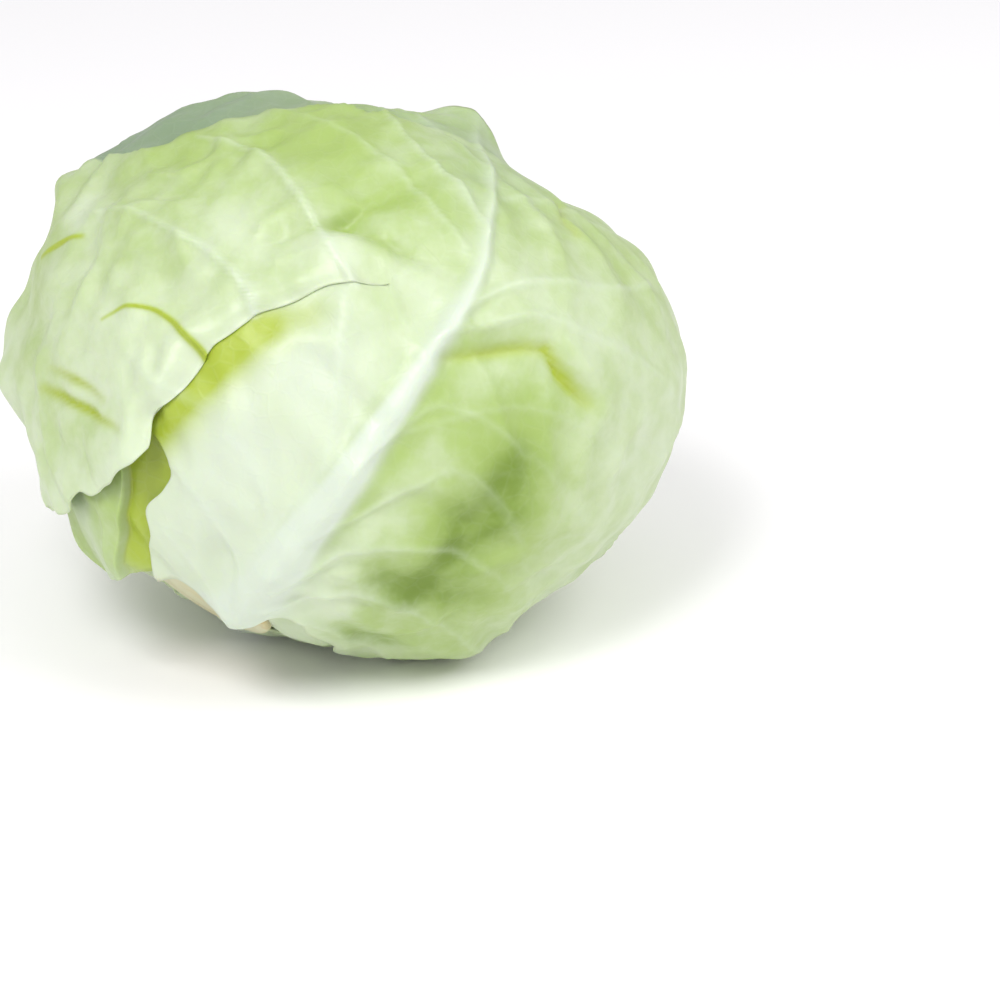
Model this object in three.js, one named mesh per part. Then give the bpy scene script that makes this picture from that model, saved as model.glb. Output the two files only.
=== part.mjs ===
// A head of white cabbage, as picked, lying on its side. Millimetres, +Z up, the floor at z = 0.
// The butt, where the stem was cut, points down to the front left, and the crown up to the back right.
// Places on the head are given as [longitude, colatitude] in degrees, seen from its centre:
// the colatitude is 0 at the butt and 180 at the crown, and longitude 0 faces the front.

import * as THREE from 'three';
import { mergeVertices } from 'three/addons/utils/BufferGeometryUtils.js';

// Driving dimensions
const HEAD_HALF = new THREE.Vector3( 97, 88, 80 );
const HEAD_CENTRE = new THREE.Vector3( - 0.8, 3, 75.6 );
const BUTT = new THREE.Vector3( - 0.511, - 0.57, - 0.643 ).normalize();
const LEAF_THICKNESS = 1.2;
const LAYER_STEP = 2.6;
const STEM_RADIUS = 21.4;
const STEM_CUT = 79;
const STEM_ROOT = 64.4;
const HEART_FLAT = 64;

const DEGREE = Math.PI / 180;
const FRONT = new THREE.Vector3( 0, - 1, 0 ).addScaledVector( BUTT, BUTT.y ).normalize();
const RIGHT = new THREE.Vector3().crossVectors( FRONT, BUTT );

const COLOURS = {
	outerLeaf: 0xcfe3a6,
	innerLeaf: 0xbdd488,
	heart: 0xdfecc0,
	stem: 0xe9dcc0,
};

// Swells and hollows of the whole head: [longitude, colatitude], spread in degrees, rise in mm
const SWELLS = [
	{ at: [ 0, 0 ], spread: 22, rise: - 7.5 },
	{ at: [ - 101, 94 ], spread: 13, rise: 7 },
	{ at: [ - 94, 115 ], spread: 13, rise: 5.5 },
	{ at: [ - 70, 153 ], spread: 11, rise: - 5 },
	{ at: [ - 42, 162 ], spread: 9, rise: 6 },
	{ at: [ 24, 160 ], spread: 19, rise: - 10 },
	{ at: [ 63, 121 ], spread: 17, rise: 3 },
	{ at: [ 76, 55 ], spread: 13, rise: 5.5 },
	{ at: [ - 113, 41 ], spread: 9, rise: - 4 },
	{ at: [ - 107, 57 ], spread: 7, rise: 2.5 },
	{ at: [ 150, 95 ], spread: 24, rise: 2.5 },
	{ at: [ - 160, 70 ], spread: 20, rise: 2 },
	{ at: [ 175, 135 ], spread: 16, rise: - 2 },
];

function way( lon, colat ) {

	const side = Math.sin( colat * DEGREE );
	return new THREE.Vector3()
		.addScaledVector( BUTT, Math.cos( colat * DEGREE ) )
		.addScaledVector( FRONT, side * Math.cos( lon * DEGREE ) )
		.addScaledVector( RIGHT, side * Math.sin( lon * DEGREE ) );

}

function smoothstep( low, high, x ) {

	const t = Math.min( 1, Math.max( 0, ( x - low ) / ( high - low ) ) );
	return t * t * ( 3 - 2 * t );

}

const swellWays = SWELLS.map( ( swell ) => way( ...swell.at ) );

// Distance from the head's centre to its outermost layer
function envelope( direction ) {

	let radius = 1 / direction.clone().divide( HEAD_HALF ).length();
	SWELLS.forEach( ( swell, i ) => {

		const angle = direction.angleTo( swellWays[ i ] ) / DEGREE;
		radius += swell.rise * Math.exp( - ( ( angle / swell.spread ) ** 2 ) );

	} );
	return radius;

}

// A smooth line through chart points, for t from 0 to 1
function along( points, t ) {

	const last = points.length - 1;
	const place = Math.min( last, Math.max( 0, t * last ) );
	const i = Math.min( last - 1, Math.floor( place ) );
	const f = place - i;
	const before = points[ Math.max( 0, i - 1 ) ];
	const after = points[ Math.min( last, i + 2 ) ];
	return [ 0, 1 ].map( ( k ) => {

		const start = points[ i ][ k ];
		const end = points[ i + 1 ][ k ];
		const leave = ( end - before[ k ] ) / 2;
		const arrive = ( after[ k ] - start ) / 2;
		return start + leave * f
			+ ( 3 * ( end - start ) - 2 * leave - arrive ) * f ** 2
			+ ( leave + arrive - 2 * ( end - start ) ) * f ** 3;

	} );

}

// Value of a list of evenly spaced numbers at t from 0 to 1
function ramp( values, t ) {

	const place = t * ( values.length - 1 );
	const i = Math.min( values.length - 2, Math.floor( place ) );
	return values[ i ] + ( values[ i + 1 ] - values[ i ] ) * ( place - i );

}

// A rib, fold or crease: a line on the head with its rise in mm and half width in degrees along it
class Ridge {

	constructor( points, rise, spread ) {

		const steps = ( points.length - 1 ) * 4;
		this.ways = Array.from( { length: steps + 1 }, ( _, i ) => way( ...along( points, i / steps ) ) );
		this.rise = rise;
		this.spread = spread;

	}

	heightAt( direction ) {

		const count = this.ways.length - 1;
		const nearest = new THREE.Vector3();
		let best = Infinity;
		let bestT = 0;
		for ( let i = 0; i < count; i ++ ) {

			const start = this.ways[ i ];
			const run = nearest.copy( this.ways[ i + 1 ] ).sub( start );
			const f = direction.clone().sub( start ).dot( run ) / run.lengthSq();
			const share = Math.min( 1, Math.max( 0, f ) );
			const gap = run.multiplyScalar( share ).add( start ).distanceTo( direction );
			if ( gap < best ) {

				best = gap;
				bestT = ( i + share ) / count;

			}

		}
		const reach = best / DEGREE / ramp( this.spread, bestT );
		return ramp( this.rise, bestT ) * Math.exp( - reach * reach );

	}

}

const sumAt = ( ridges, direction ) => ridges.reduce( ( sum, ridge ) => sum + ridge.heightAt( direction ), 0 );

const SAME_PLACE = 1e-6;

// A closed sheet: its outer face, its inner face one thickness below it, and a rim round every free edge.
// Each point has its place on the head, the height of the sheet there and the extra height of a rib.
class Sheet {

	constructor() {

		this.points = [];
		this.faces = [];

	}

	point( lon, colat, height, rib ) {

		const same = this.points.findIndex( ( p ) => Math.hypot( p.lon - lon, p.colat - colat ) < SAME_PLACE );
		if ( same >= 0 ) return same;
		const direction = way( lon, colat );
		const radius = envelope( direction ) + height;
		const outer = direction.clone().multiplyScalar( radius + rib ).add( HEAD_CENTRE );
		const inner = direction.clone().multiplyScalar( radius - LEAF_THICKNESS ).add( HEAD_CENTRE );
		outer.z = Math.max( outer.z, 0 );
		inner.z = Math.max( inner.z, outer.z === 0 ? LEAF_THICKNESS : 0 );
		return this.points.push( { lon, colat, outer, inner } ) - 1;

	}

	// A grid of points; longitude grows with the column and colatitude with the row
	grid( rows ) {

		for ( let j = 0; j + 1 < rows.length; j ++ ) {

			for ( let i = 0; i + 1 < rows[ j ].length; i ++ ) {

				const [ a, b, c, d ] = [ rows[ j ][ i ], rows[ j ][ i + 1 ], rows[ j + 1 ][ i + 1 ], rows[ j + 1 ][ i ] ];
				this.faces.push( [ a, b, c ], [ a, c, d ] );

			}

		}

	}

	geometry() {

		const count = this.points.length;
		const corners = [ ...this.points.map( ( p ) => p.outer ), ...this.points.map( ( p ) => p.inner ) ];
		const index = [];
		const edges = new Map();
		for ( const [ a, b, c ] of this.faces ) {

			index.push( a, b, c, count + a, count + c, count + b );
			for ( const [ from, to ] of [ [ a, b ], [ b, c ], [ c, a ] ] ) {

				if ( ! edges.delete( to + '-' + from ) ) edges.set( from + '-' + to, [ from, to ] );

			}

		}
		for ( const [ from, to ] of edges.values() ) {

			index.push( to, from, count + from, to, count + from, count + to );

		}
		const geometry = new THREE.BufferGeometry().setFromPoints( corners );
		geometry.setIndex( index );
		return geometry;

	}

}

function colouredMesh( name, geometry, colour, roughness ) {

	const material = new THREE.MeshStandardMaterial( { color: colour, roughness, metalness: 0 } );
	const mesh = new THREE.Mesh( geometry, material );
	mesh.name = name;
	return mesh;

}

// Leaf 1, the outermost, faces the front. Its left half is torn along a line beside the midrib,
// so it has three patches: the right wing, the strip left of the midrib, and the flap beyond the tear.
const MIDRIB = [ [ 12, 17 ], [ 7, 26 ], [ 3, 34 ], [ 0, 46 ], [ - 1, 58 ], [ - 1.5, 71 ], [ - 1.6, 84 ],
	[ - 1.8, 95 ], [ - 2, 106 ], [ - 5, 118 ], [ - 8, 129 ], [ - 14, 142 ], [ - 20, 152 ], [ - 26, 160 ] ];
const TEAR_TIP = [ - 15.4, 93.5 ];
const LIP = [ TEAR_TIP, [ - 21, 90.5 ], [ - 28, 84 ], [ - 33, 75.5 ], [ - 37.7, 66 ], [ - 41, 57.5 ],
	[ - 44.5, 53 ], [ - 42.5, 47 ] ];
const LIP_FOOT = [ [ - 42.5, 47 ], [ - 50.5, 40.5 ], [ - 59, 36 ], [ - 69, 34.5 ], [ - 81, 31 ],
	[ - 93, 30.5 ], [ - 104, 33 ], [ - 117, 33.5 ] ];
const TORN_EDGE = [ [ - 43, 16 ], [ - 42, 26 ], [ - 43, 36 ], [ - 48, 46 ], [ - 50, 56 ], [ - 48, 66 ],
	[ - 40, 75.5 ], [ - 29, 82.3 ], [ - 20.4, 89.5 ], TEAR_TIP ];
const ABOVE_TEAR = [ TEAR_TIP, [ - 14, 103 ], [ - 17, 114 ], [ - 22, 126 ], [ - 28, 139 ], [ - 34, 150 ], [ - 38, 159 ] ];
const STRIP_BASE = [ [ - 43, 16 ], [ - 30, 16.4 ], [ - 15, 16.8 ], [ 0, 16.4 ], [ 12, 17 ] ];
const STRIP_TOP = [ [ - 38, 159 ], [ - 32, 160.5 ], [ - 26, 160 ] ];
const FLAP_EDGE = [ [ - 117, 33.5 ], [ - 124, 44 ], [ - 127, 58 ], [ - 126, 72 ], [ - 131, 86 ], [ - 127, 101 ],
	[ - 131, 116 ], [ - 124, 131 ], [ - 116, 144 ] ];
const FLAP_TOP = [ [ - 116, 144 ], [ - 100, 152 ], [ - 84, 152 ], [ - 68, 157 ], [ - 52, 157 ], [ - 38, 159 ] ];
const WING_BASE = [ [ 12, 17 ], [ 14, 22 ], [ 17, 27.5 ], [ 24, 30 ], [ 35, 28 ], [ 47, 28 ], [ 60, 29.5 ],
	[ 72, 29.5 ], [ 88, 34 ] ];
const WING_EDGE = [ [ 88, 34 ], [ 98, 44 ], [ 99, 55 ], [ 104, 68 ], [ 100, 82 ], [ 103, 96 ], [ 97, 110 ],
	[ 97, 124 ], [ 86, 138 ], [ 78, 148 ] ];
const WING_TOP = [ [ - 26, 160 ], [ - 8, 162 ], [ 14, 158 ], [ 36, 160 ], [ 58, 154 ], [ 78, 148 ] ];

const MIDRIB_SWELL = new Ridge( MIDRIB, [ 5.5, 5.5, 4, 3, 2.4, 1.8, 1.3, 1, 0.6 ], [ 6.5, 5.5, 5, 4.2, 3.4, 2.6, 2.2, 2, 2 ] );
const BASE_KNOB = new Ridge( [ [ 17, 17 ], [ 6, 20 ] ], [ 3, 2 ], [ 6, 6 ] );
const LEAF_1_RIBS = [
	MIDRIB_SWELL,
	BASE_KNOB,
	new Ridge( [ [ - 3, 45.7 ], [ - 7, 62.5 ], [ - 14, 75.7 ], [ - 21, 89.2 ] ], [ 0.8, 1 ], [ 2.4, 2.4 ] ),
	new Ridge( [ [ - 21, 92.5 ], [ - 30, 96.3 ], [ - 40, 102 ], [ - 52, 107.3 ], [ - 62, 108.6 ] ], [ 1.4, 0.8 ], [ 3, 2.6 ] ),
	new Ridge( [ [ - 36.6, 80.7 ], [ - 47, 84 ], [ - 57, 85.2 ], [ - 69.5, 86.8 ], [ - 82, 85.6 ] ], [ 1.2, 1 ], [ 2.6, 2.6 ] ),
	new Ridge( [ [ - 14, 50.3 ], [ - 28, 56.5 ], [ - 42, 58.7 ] ], [ 0.8, 0.6 ], [ 2.8, 2.6 ] ),
	new Ridge( [ [ - 2.4, 114.4 ], [ - 12.5, 121.3 ], [ - 34, 130 ], [ - 48, 137.6 ] ], [ 1.2, 0.9 ], [ 2.8, 2.6 ] ),
	new Ridge( [ [ 3, 98.2 ], [ 7.8, 106.3 ], [ 14.7, 113.2 ], [ 30, 120.3 ], [ 44.6, 133.8 ] ], [ 1.2, 0.9 ], [ 2.8, 2.6 ] ),
];
const LEAF_1_FOLDS = [
	new Ridge( [ [ - 34, 91 ], [ - 29, 97.2 ], [ - 27, 104.8 ], [ - 22.5, 112.6 ], [ - 18.6, 123.3 ] ], [ - 1.6, - 1.2 ], [ 4, 4 ] ),
	new Ridge( [ [ - 29, 97.2 ], [ - 20, 99.9 ], [ - 12, 101.8 ], [ - 3, 101 ] ], [ - 1.4, - 0.8 ], [ 4, 4 ] ),
	new Ridge( [ [ - 22, 104 ], [ - 42, 118 ], [ - 58, 126 ] ], [ 1.2, 1.6 ], [ 9, 9 ] ),
	new Ridge( [ [ - 70, 96 ], [ - 84, 104 ], [ - 90, 122 ] ], [ 1.5, 1.5 ], [ 7, 7 ] ),
	new Ridge( [ [ - 60, 66 ], [ - 78, 70 ], [ - 95, 78 ] ], [ 1.6, 1.2 ], [ 6, 6 ] ),
	new Ridge( [ [ - 66, 52 ], [ - 84, 52 ], [ - 102, 48 ] ], [ - 1.6, - 1.6 ], [ 5, 5 ] ),
	new Ridge( [ [ 0, 88 ], [ 5, 95 ], [ 11.6, 104 ], [ 16.4, 110 ] ], [ 1.5, 1 ], [ 4, 4 ] ),
	new Ridge( [ [ 3, 84 ], [ 9, 90 ], [ 15, 97 ], [ 22, 99 ] ], [ - 2, - 3 ], [ 4.5, 4.5 ] ),
	new Ridge( [ [ 16, 101 ], [ 21, 98 ], [ 27, 96 ] ], [ - 3, - 2 ], [ 4, 4 ] ),
	new Ridge( [ [ 14, 28 ], [ 22, 38 ], [ 31, 46 ], [ 46, 52 ], [ 76, 58 ] ], [ 1.6, 2.6, 2 ], [ 4, 4.5, 6 ] ),
	new Ridge( [ [ 26, 33 ], [ 42, 38 ], [ 62, 41 ] ], [ - 2, - 2.6 ], [ 4.5, 5 ] ),
	new Ridge( [ [ 24, 48 ], [ 36, 56 ], [ 52, 62 ] ], [ - 1.6, - 2.4 ], [ 5, 6 ] ),
	new Ridge( [ [ 11, 63 ], [ 17, 73 ], [ 25, 80 ], [ 44, 84 ] ], [ 1, 1.6 ], [ 4, 6 ] ),
	new Ridge( [ [ - 5.6, 116.5 ], [ 7, 124 ], [ 20.5, 129.4 ], [ 40, 130 ] ], [ - 1.2, - 1.6 ], [ 4, 5 ] ),
];
const FLAP_CURL = [
	new Ridge( LIP, [ 0, 3.4, 4.6, 5, 5 ], [ 5, 7, 9, 10, 10 ] ),
	new Ridge( LIP_FOOT.slice( 1 ), [ 3.4, 3, 3 ], [ 7, 7, 7 ] ),
];
const STRIP_DIP = [ new Ridge( TORN_EDGE, [ - 0.6, - 1, - 2.2, - 2.4, - 2.4, - 2, - 1.6, - 0.6, 0 ], [ 6, 7, 9, 10, 10, 9, 7, 4, 3 ] ) ];

const STRIP_COLUMNS = 9;
const FLAP_COLUMNS = 21;
const WING_COLUMNS = [ 0, 0.02, 0.045, 0.08, 0.12, 0.165, 0.21, 0.26, 0.31, 0.365, 0.42, 0.48, 0.54,
	0.6, 0.66, 0.72, 0.79, 0.86, 0.93, 1 ];
const ROWS_BELOW_TIP = 13;
const ROWS_ABOVE_TIP = 11;
const LIP_ROWS = 15;

function coons( bottom, right, top, left, u, v ) {

	const corners = [ bottom( 0 ), bottom( 1 ), top( 0 ), top( 1 ) ];
	return [ 0, 1 ].map( ( k ) => ( 1 - v ) * bottom( u )[ k ] + v * top( u )[ k ]
		+ ( 1 - u ) * left( v )[ k ] + u * right( v )[ k ]
		- ( 1 - u ) * ( 1 - v ) * corners[ 0 ][ k ] - u * ( 1 - v ) * corners[ 1 ][ k ]
		- ( 1 - u ) * v * corners[ 2 ][ k ] - u * v * corners[ 3 ][ k ] );

}

const curve = ( points ) => ( t ) => along( points, t );

// Two curves end to end, the first up to the share `split` of the whole
const joined = ( first, second, split ) => ( t ) => t <= split ? along( first, t / split )
	: along( second, ( t - split ) / ( 1 - split ) );

function evenSteps( count ) {

	return Array.from( { length: count + 1 }, ( _, i ) => i / count );

}

function leaf1() {

	const sheet = new Sheet();
	const rows = ROWS_BELOW_TIP + ROWS_ABOVE_TIP;
	const patch = ( us, vs, sides, folds ) => {

		sheet.grid( vs.map( ( v ) => us.map( ( u ) => {

			const [ lon, colat ] = coons( ...sides, u, v );
			const direction = way( lon, colat );
			const height = sumAt( LEAF_1_FOLDS, direction ) + sumAt( folds, direction );
			return sheet.point( lon, colat, height, sumAt( LEAF_1_RIBS, direction ) );

		} ) ) );

	};
	const tipShare = ROWS_BELOW_TIP / rows;
	const stripSides = [ curve( STRIP_BASE ), curve( MIDRIB ), curve( STRIP_TOP ),
		joined( TORN_EDGE, ABOVE_TEAR, tipShare ) ];
	const wingSides = [ curve( WING_BASE ), curve( WING_EDGE ), curve( WING_TOP ), curve( MIDRIB ) ];
	const lipShare = LIP_ROWS / ( LIP_ROWS + ROWS_ABOVE_TIP );
	const flapSides = [ ( t ) => along( LIP_FOOT, 1 - t ), joined( [ ...LIP ].reverse(), ABOVE_TEAR, lipShare ),
		curve( FLAP_TOP ), curve( FLAP_EDGE ) ];
	patch( evenSteps( STRIP_COLUMNS ), evenSteps( rows ), stripSides, STRIP_DIP );
	patch( WING_COLUMNS, evenSteps( rows ), wingSides, STRIP_DIP );
	patch( evenSteps( FLAP_COLUMNS ), evenSteps( LIP_ROWS + ROWS_ABOVE_TIP ), flapSides, FLAP_CURL );
	return sheet.geometry();

}

// The other outer leaves follow at the turn of a cabbage's leaves, each a layer further in.
// Near the butt they come up to the surface, where they are set round the stem.
const BASE_COLAT = 16.2;
const BASE_SHARE = 0.34;
const BASE_HALF_WIDTH = 38;
const LEAF_COLUMNS = [ 0.05, 0.12, 0.21, 0.32, 0.44, 0.56, 0.68, 0.79, 0.9, 1 ];
const LEAF_ROWS = 17;
const OUTER_LEAVES = [
	{ name: 'leaf_2', lon: 140, layer: 1, halfWidth: 79, widenFrom: 0, top: 166, wave: 0.4, rib: [ 2.4, 1.4, 0.8 ] },
	{ name: 'leaf_3', lon: - 85, layer: 2, halfWidth: 72, widenFrom: 0.19, top: 164, wave: 1.9, rib: [ 1.6, 0.5, 0.5 ] },
	{ name: 'leaf_4', lon: 52.5, layer: 3, halfWidth: 70, widenFrom: 0, top: 151, wave: 3.1, rib: [ 1.2, 0.4, 0.4 ] },
	{ name: 'leaf_5', lon: - 172, layer: 4, halfWidth: 70, widenFrom: 0, top: 153, wave: 4.4, rib: [ 1.2, 0.4, 0.4 ] },
];
const VEIN_STARTS = [ 42, 62, 82, 102, 120 ];
const VEIN_COURSE = [ [ 0, 0 ], [ 14, 10 ], [ 32, 17 ], [ 52, 19 ] ];
const VEIN_RISE = [ 0.9, 0.7, 0.4 ];
const VEIN_SPREAD = [ 3.4, 3, 2.6 ];
const LEAF_FOLDS = {
	leaf_2: [
		new Ridge( [ [ 112, 70 ], [ 118, 96 ], [ 110, 118 ] ], [ - 0.8, - 0.8 ], [ 8, 8 ] ),
		new Ridge( [ [ 168, 60 ], [ 176, 88 ], [ 170, 116 ] ], [ 1.4, 1.6 ], [ 9, 9 ] ),
		new Ridge( [ [ 208, 62 ], [ 216, 90 ], [ 206, 118 ] ], [ 1.4, 1.6 ], [ 6, 6 ] ),
	],
	leaf_3: [
		new Ridge( [ [ - 48, 17 ], [ - 49, 28 ], [ - 51, 39 ] ], [ 1.8, 3, 1.4 ], [ 6, 7, 7 ] ),
		new Ridge( [ [ - 57, 18 ], [ - 57, 28 ], [ - 59, 36 ] ], [ - 1, - 1.2, - 0.6 ], [ 4, 4, 4 ] ),
		new Ridge( [ [ - 148, 50 ], [ - 143, 80 ], [ - 146, 110 ] ], [ 1.2, 1.6 ], [ 7, 7 ] ),
	],
	leaf_4: [],
	leaf_5: [],
};

function leafRibs( leaf ) {

	const midrib = [ BASE_COLAT, 50, 90, 130 ].map( ( colat ) => [ leaf.lon, colat ] );
	const ribs = [ new Ridge( midrib, leaf.rib, [ 6, 4.5, 3 ] ) ];
	for ( const start of VEIN_STARTS ) {

		for ( const side of [ - 1, 1 ] ) {

			const course = VEIN_COURSE.map( ( [ across, up ] ) => [ leaf.lon + side * across, start + up ] );
			ribs.push( new Ridge( course, VEIN_RISE, VEIN_SPREAD ) );

		}

	}
	return ribs;

}

function outerLeaf( leaf ) {

	const sheet = new Sheet();
	const ribs = leafRibs( leaf );
	const across = [ ...LEAF_COLUMNS.map( ( u ) => - u ).reverse(), 0, ...LEAF_COLUMNS ];
	sheet.grid( evenSteps( LEAF_ROWS ).map( ( v ) => across.map( ( u ) => {

		const edge = u ** 4;
		const widen = BASE_HALF_WIDTH - 16 * smoothstep( 0.72, 1, v )
			+ ( leaf.halfWidth - BASE_HALF_WIDTH ) * smoothstep( leaf.widenFrom, leaf.widenFrom + 0.42, v );
		const lon = leaf.lon + u * ( widen + edge * 2.4 * Math.sin( 17 * v + leaf.wave ) );
		const top = leaf.top - 14 * u ** 2 + 1.6 * Math.sin( 7 * u + leaf.wave );
		const base = BASE_COLAT + 4 * u ** 2;
		const colat = base + ( top - base ) * v;
		const direction = way( lon, colat );
		const sink = BASE_SHARE + ( 1 - BASE_SHARE ) * smoothstep( 20, 46, colat );
		const height = sumAt( LEAF_FOLDS[ leaf.name ], direction ) - leaf.layer * LAYER_STEP * sink;
		return sheet.point( lon, colat, height, sumAt( ribs, direction ) );

	} ) ) );
	return sheet.geometry();

}

// The tight inner leaves are one body, with the margins of the last two wound over the crown
const HEART_LAYER = 5;
const HEART_COLUMNS = 40;
const HEART_ROWS = 20;
const CROWN_RISE = 5;
const CROWN_DOME = 3.6;
const CROWN_STEP = 1.6;

function heartRadius( lon, colat ) {

	const direction = way( lon, colat );
	const crown = CROWN_RISE * smoothstep( 154, 163, colat ) + CROWN_DOME * smoothstep( 163, 172, colat );
	const firstStep = smoothstep( - 4, 4, ( 180 - colat ) * Math.cos( ( lon - 40 ) * DEGREE ) + 6 );
	const secondStep = smoothstep( - 4, 4, ( 180 - colat ) * Math.cos( ( lon - 177 ) * DEGREE ) - 4 );
	const margins = CROWN_STEP * ( firstStep + secondStep ) * smoothstep( 150, 160, colat );
	return envelope( direction ) - HEART_LAYER * LAYER_STEP + crown - margins;

}

function heart() {

	const points = [];
	const index = [];
	const add = ( lon, colat ) => {

		const place = way( lon, colat ).multiplyScalar( heartRadius( lon, colat ) );
		const over = place.dot( BUTT ) - HEART_FLAT;
		if ( over > 0 ) place.addScaledVector( BUTT, - over );
		points.push( place.add( HEAD_CENTRE ) );
		return points.length - 1;

	};
	const rings = [];
	for ( let j = 1; j < HEART_ROWS; j ++ ) {

		rings.push( Array.from( { length: HEART_COLUMNS }, ( _, i ) => add( i * 360 / HEART_COLUMNS, j * 180 / HEART_ROWS ) ) );

	}
	const butt = add( 0, 0 );
	const crown = add( 0, 180 );
	for ( let i = 0; i < HEART_COLUMNS; i ++ ) {

		const next = ( i + 1 ) % HEART_COLUMNS;
		index.push( butt, rings[ 0 ][ next ], rings[ 0 ][ i ] );
		index.push( crown, rings.at( - 1 )[ i ], rings.at( - 1 )[ next ] );
		for ( let j = 0; j + 1 < rings.length; j ++ ) {

			const [ a, b, c, d ] = [ rings[ j ][ i ], rings[ j ][ next ], rings[ j + 1 ][ next ], rings[ j + 1 ][ i ] ];
			index.push( a, b, c, a, c, d );

		}

	}
	const geometry = new THREE.BufferGeometry().setFromPoints( points );
	geometry.setIndex( index );
	return geometry;

}

// The stump of the stem, with its cut face level with the leaf bases round it
function stem() {

	const profile = [
		[ 0, STEM_ROOT ],
		[ STEM_RADIUS - 1.6, STEM_ROOT ],
		[ STEM_RADIUS - 0.9, STEM_CUT - 7 ],
		[ STEM_RADIUS, STEM_CUT - 2 ],
		[ STEM_RADIUS - 1, STEM_CUT - 0.3 ],
		[ STEM_RADIUS - 5, STEM_CUT ],
		[ 0, STEM_CUT + 0.4 ],
	].map( ( [ radius, height ] ) => new THREE.Vector2( radius, height ) );
	const geometry = new THREE.LatheGeometry( profile, 30 );
	geometry.deleteAttribute( 'normal' );
	geometry.deleteAttribute( 'uv' );
	return mergeVertices( geometry );

}

const cabbage = new THREE.Group();
cabbage.name = 'cabbage_head';
cabbage.add( colouredMesh( 'leaf_1', leaf1(), COLOURS.outerLeaf, 0.5 ) );
for ( const leaf of OUTER_LEAVES ) {

	cabbage.add( colouredMesh( leaf.name, outerLeaf( leaf ), COLOURS.innerLeaf, 0.5 ) );

}
cabbage.add( colouredMesh( 'heart', heart(), COLOURS.heart, 0.5 ) );
const stump = colouredMesh( 'stem', stem(), COLOURS.stem, 0.7 );
stump.quaternion.setFromUnitVectors( new THREE.Vector3( 0, 1, 0 ), BUTT );
stump.position.copy( HEAD_CENTRE );
cabbage.add( stump );

export default cabbage;
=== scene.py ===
"""A head of white cabbage on its side: a torn outermost leaf, wrapper leaves, inner head and cut stem.

Places on the head are given as (longitude, colatitude) in degrees, seen from its centre: the colatitude
is 0 at the butt and 180 at the crown, and longitude 0 faces the front. Lengths are in millimetres
until a mesh is made.
"""

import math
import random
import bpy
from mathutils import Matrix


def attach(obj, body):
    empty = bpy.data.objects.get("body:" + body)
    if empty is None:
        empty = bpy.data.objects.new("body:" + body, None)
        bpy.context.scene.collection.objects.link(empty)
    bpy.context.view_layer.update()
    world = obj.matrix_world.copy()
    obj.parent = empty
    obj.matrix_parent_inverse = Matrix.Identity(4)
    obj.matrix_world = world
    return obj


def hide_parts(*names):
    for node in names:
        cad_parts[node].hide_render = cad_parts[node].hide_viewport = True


bl_info = {
    "name": "Cabbage head",
    "version": (1, 0, 0),
    "blender": (4, 5, 0),
    "location": "View3D > Sidebar > Cabbage",
    "description": "Dresses the frame of a cabbage head with its leaves, inner head and cut stem",
    "category": "Object",
}

import bmesh
import bpy
import numpy as np
from bpy.props import FloatProperty, FloatVectorProperty, PointerProperty
from mathutils import Matrix, Vector

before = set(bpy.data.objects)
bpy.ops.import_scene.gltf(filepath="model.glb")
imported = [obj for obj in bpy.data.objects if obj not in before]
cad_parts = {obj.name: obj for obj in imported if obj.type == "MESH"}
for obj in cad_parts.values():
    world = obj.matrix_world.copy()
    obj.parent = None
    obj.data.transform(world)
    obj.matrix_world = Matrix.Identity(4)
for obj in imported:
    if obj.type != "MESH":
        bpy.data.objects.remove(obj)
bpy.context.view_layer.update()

MM = 0.001
DEGREE = math.pi / 180
CENTRE = np.array([-0.8, 3.0, 75.6])
HALF = np.array([97.0, 88.0, 80.0])
LAYER_STEP = 2.6
STEM_ROOT = 64.4
HEART_FLAT = 64.0


def unit(vector):
    return vector / np.linalg.norm(vector)


BUTT = unit(np.array([-0.511, -0.57, -0.643]))
FRONT = unit(np.array([0.0, -1.0, 0.0]) + BUTT[1] * BUTT)
RIGHT = np.cross(FRONT, BUTT)

# Swells and hollows of the whole head: longitude, colatitude, spread in degrees, rise in mm
SWELLS = (
    (0, 0, 22, -7.5),
    (-101, 94, 13, 7),
    (-94, 115, 13, 5.5),
    (-70, 153, 11, -5),
    (-42, 162, 9, 6),
    (24, 160, 19, -10),
    (63, 121, 17, 3),
    (76, 55, 13, 5.5),
    (-113, 41, 9, -4),
    (-107, 57, 7, 2.5),
    (150, 95, 24, 2.5),
    (-160, 70, 20, 2),
    (175, 135, 16, -2),
)


def way(lon, colat):
    """Unit directions from the head's centre, one row for each place."""
    lon = np.atleast_1d(np.asarray(lon, float)) * DEGREE
    colat = np.atleast_1d(np.asarray(colat, float)) * DEGREE
    side = np.sin(colat)
    return (
        np.outer(np.cos(colat), BUTT)
        + np.outer(side * np.cos(lon), FRONT)
        + np.outer(side * np.sin(lon), RIGHT)
    )


def smoothstep(low, high, x):
    t = np.clip((x - low) / (high - low), 0, 1)
    return t * t * (3 - 2 * t)


def spots(directions, places):
    """Sum of round soft spots: longitude, colatitude, spread and height of each."""
    total = np.zeros(len(directions))
    for lon, colat, spread, height in places:
        angle = np.arccos(np.clip(directions @ way(lon, colat)[0], -1, 1)) / DEGREE
        total += height * np.exp(-((angle / spread) ** 2))
    return total


def envelope(directions):
    """Distance from the head's centre to its outermost layer."""
    radius = 1 / np.linalg.norm(directions / HALF, axis=1)
    return radius + spots(directions, SWELLS)


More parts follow.
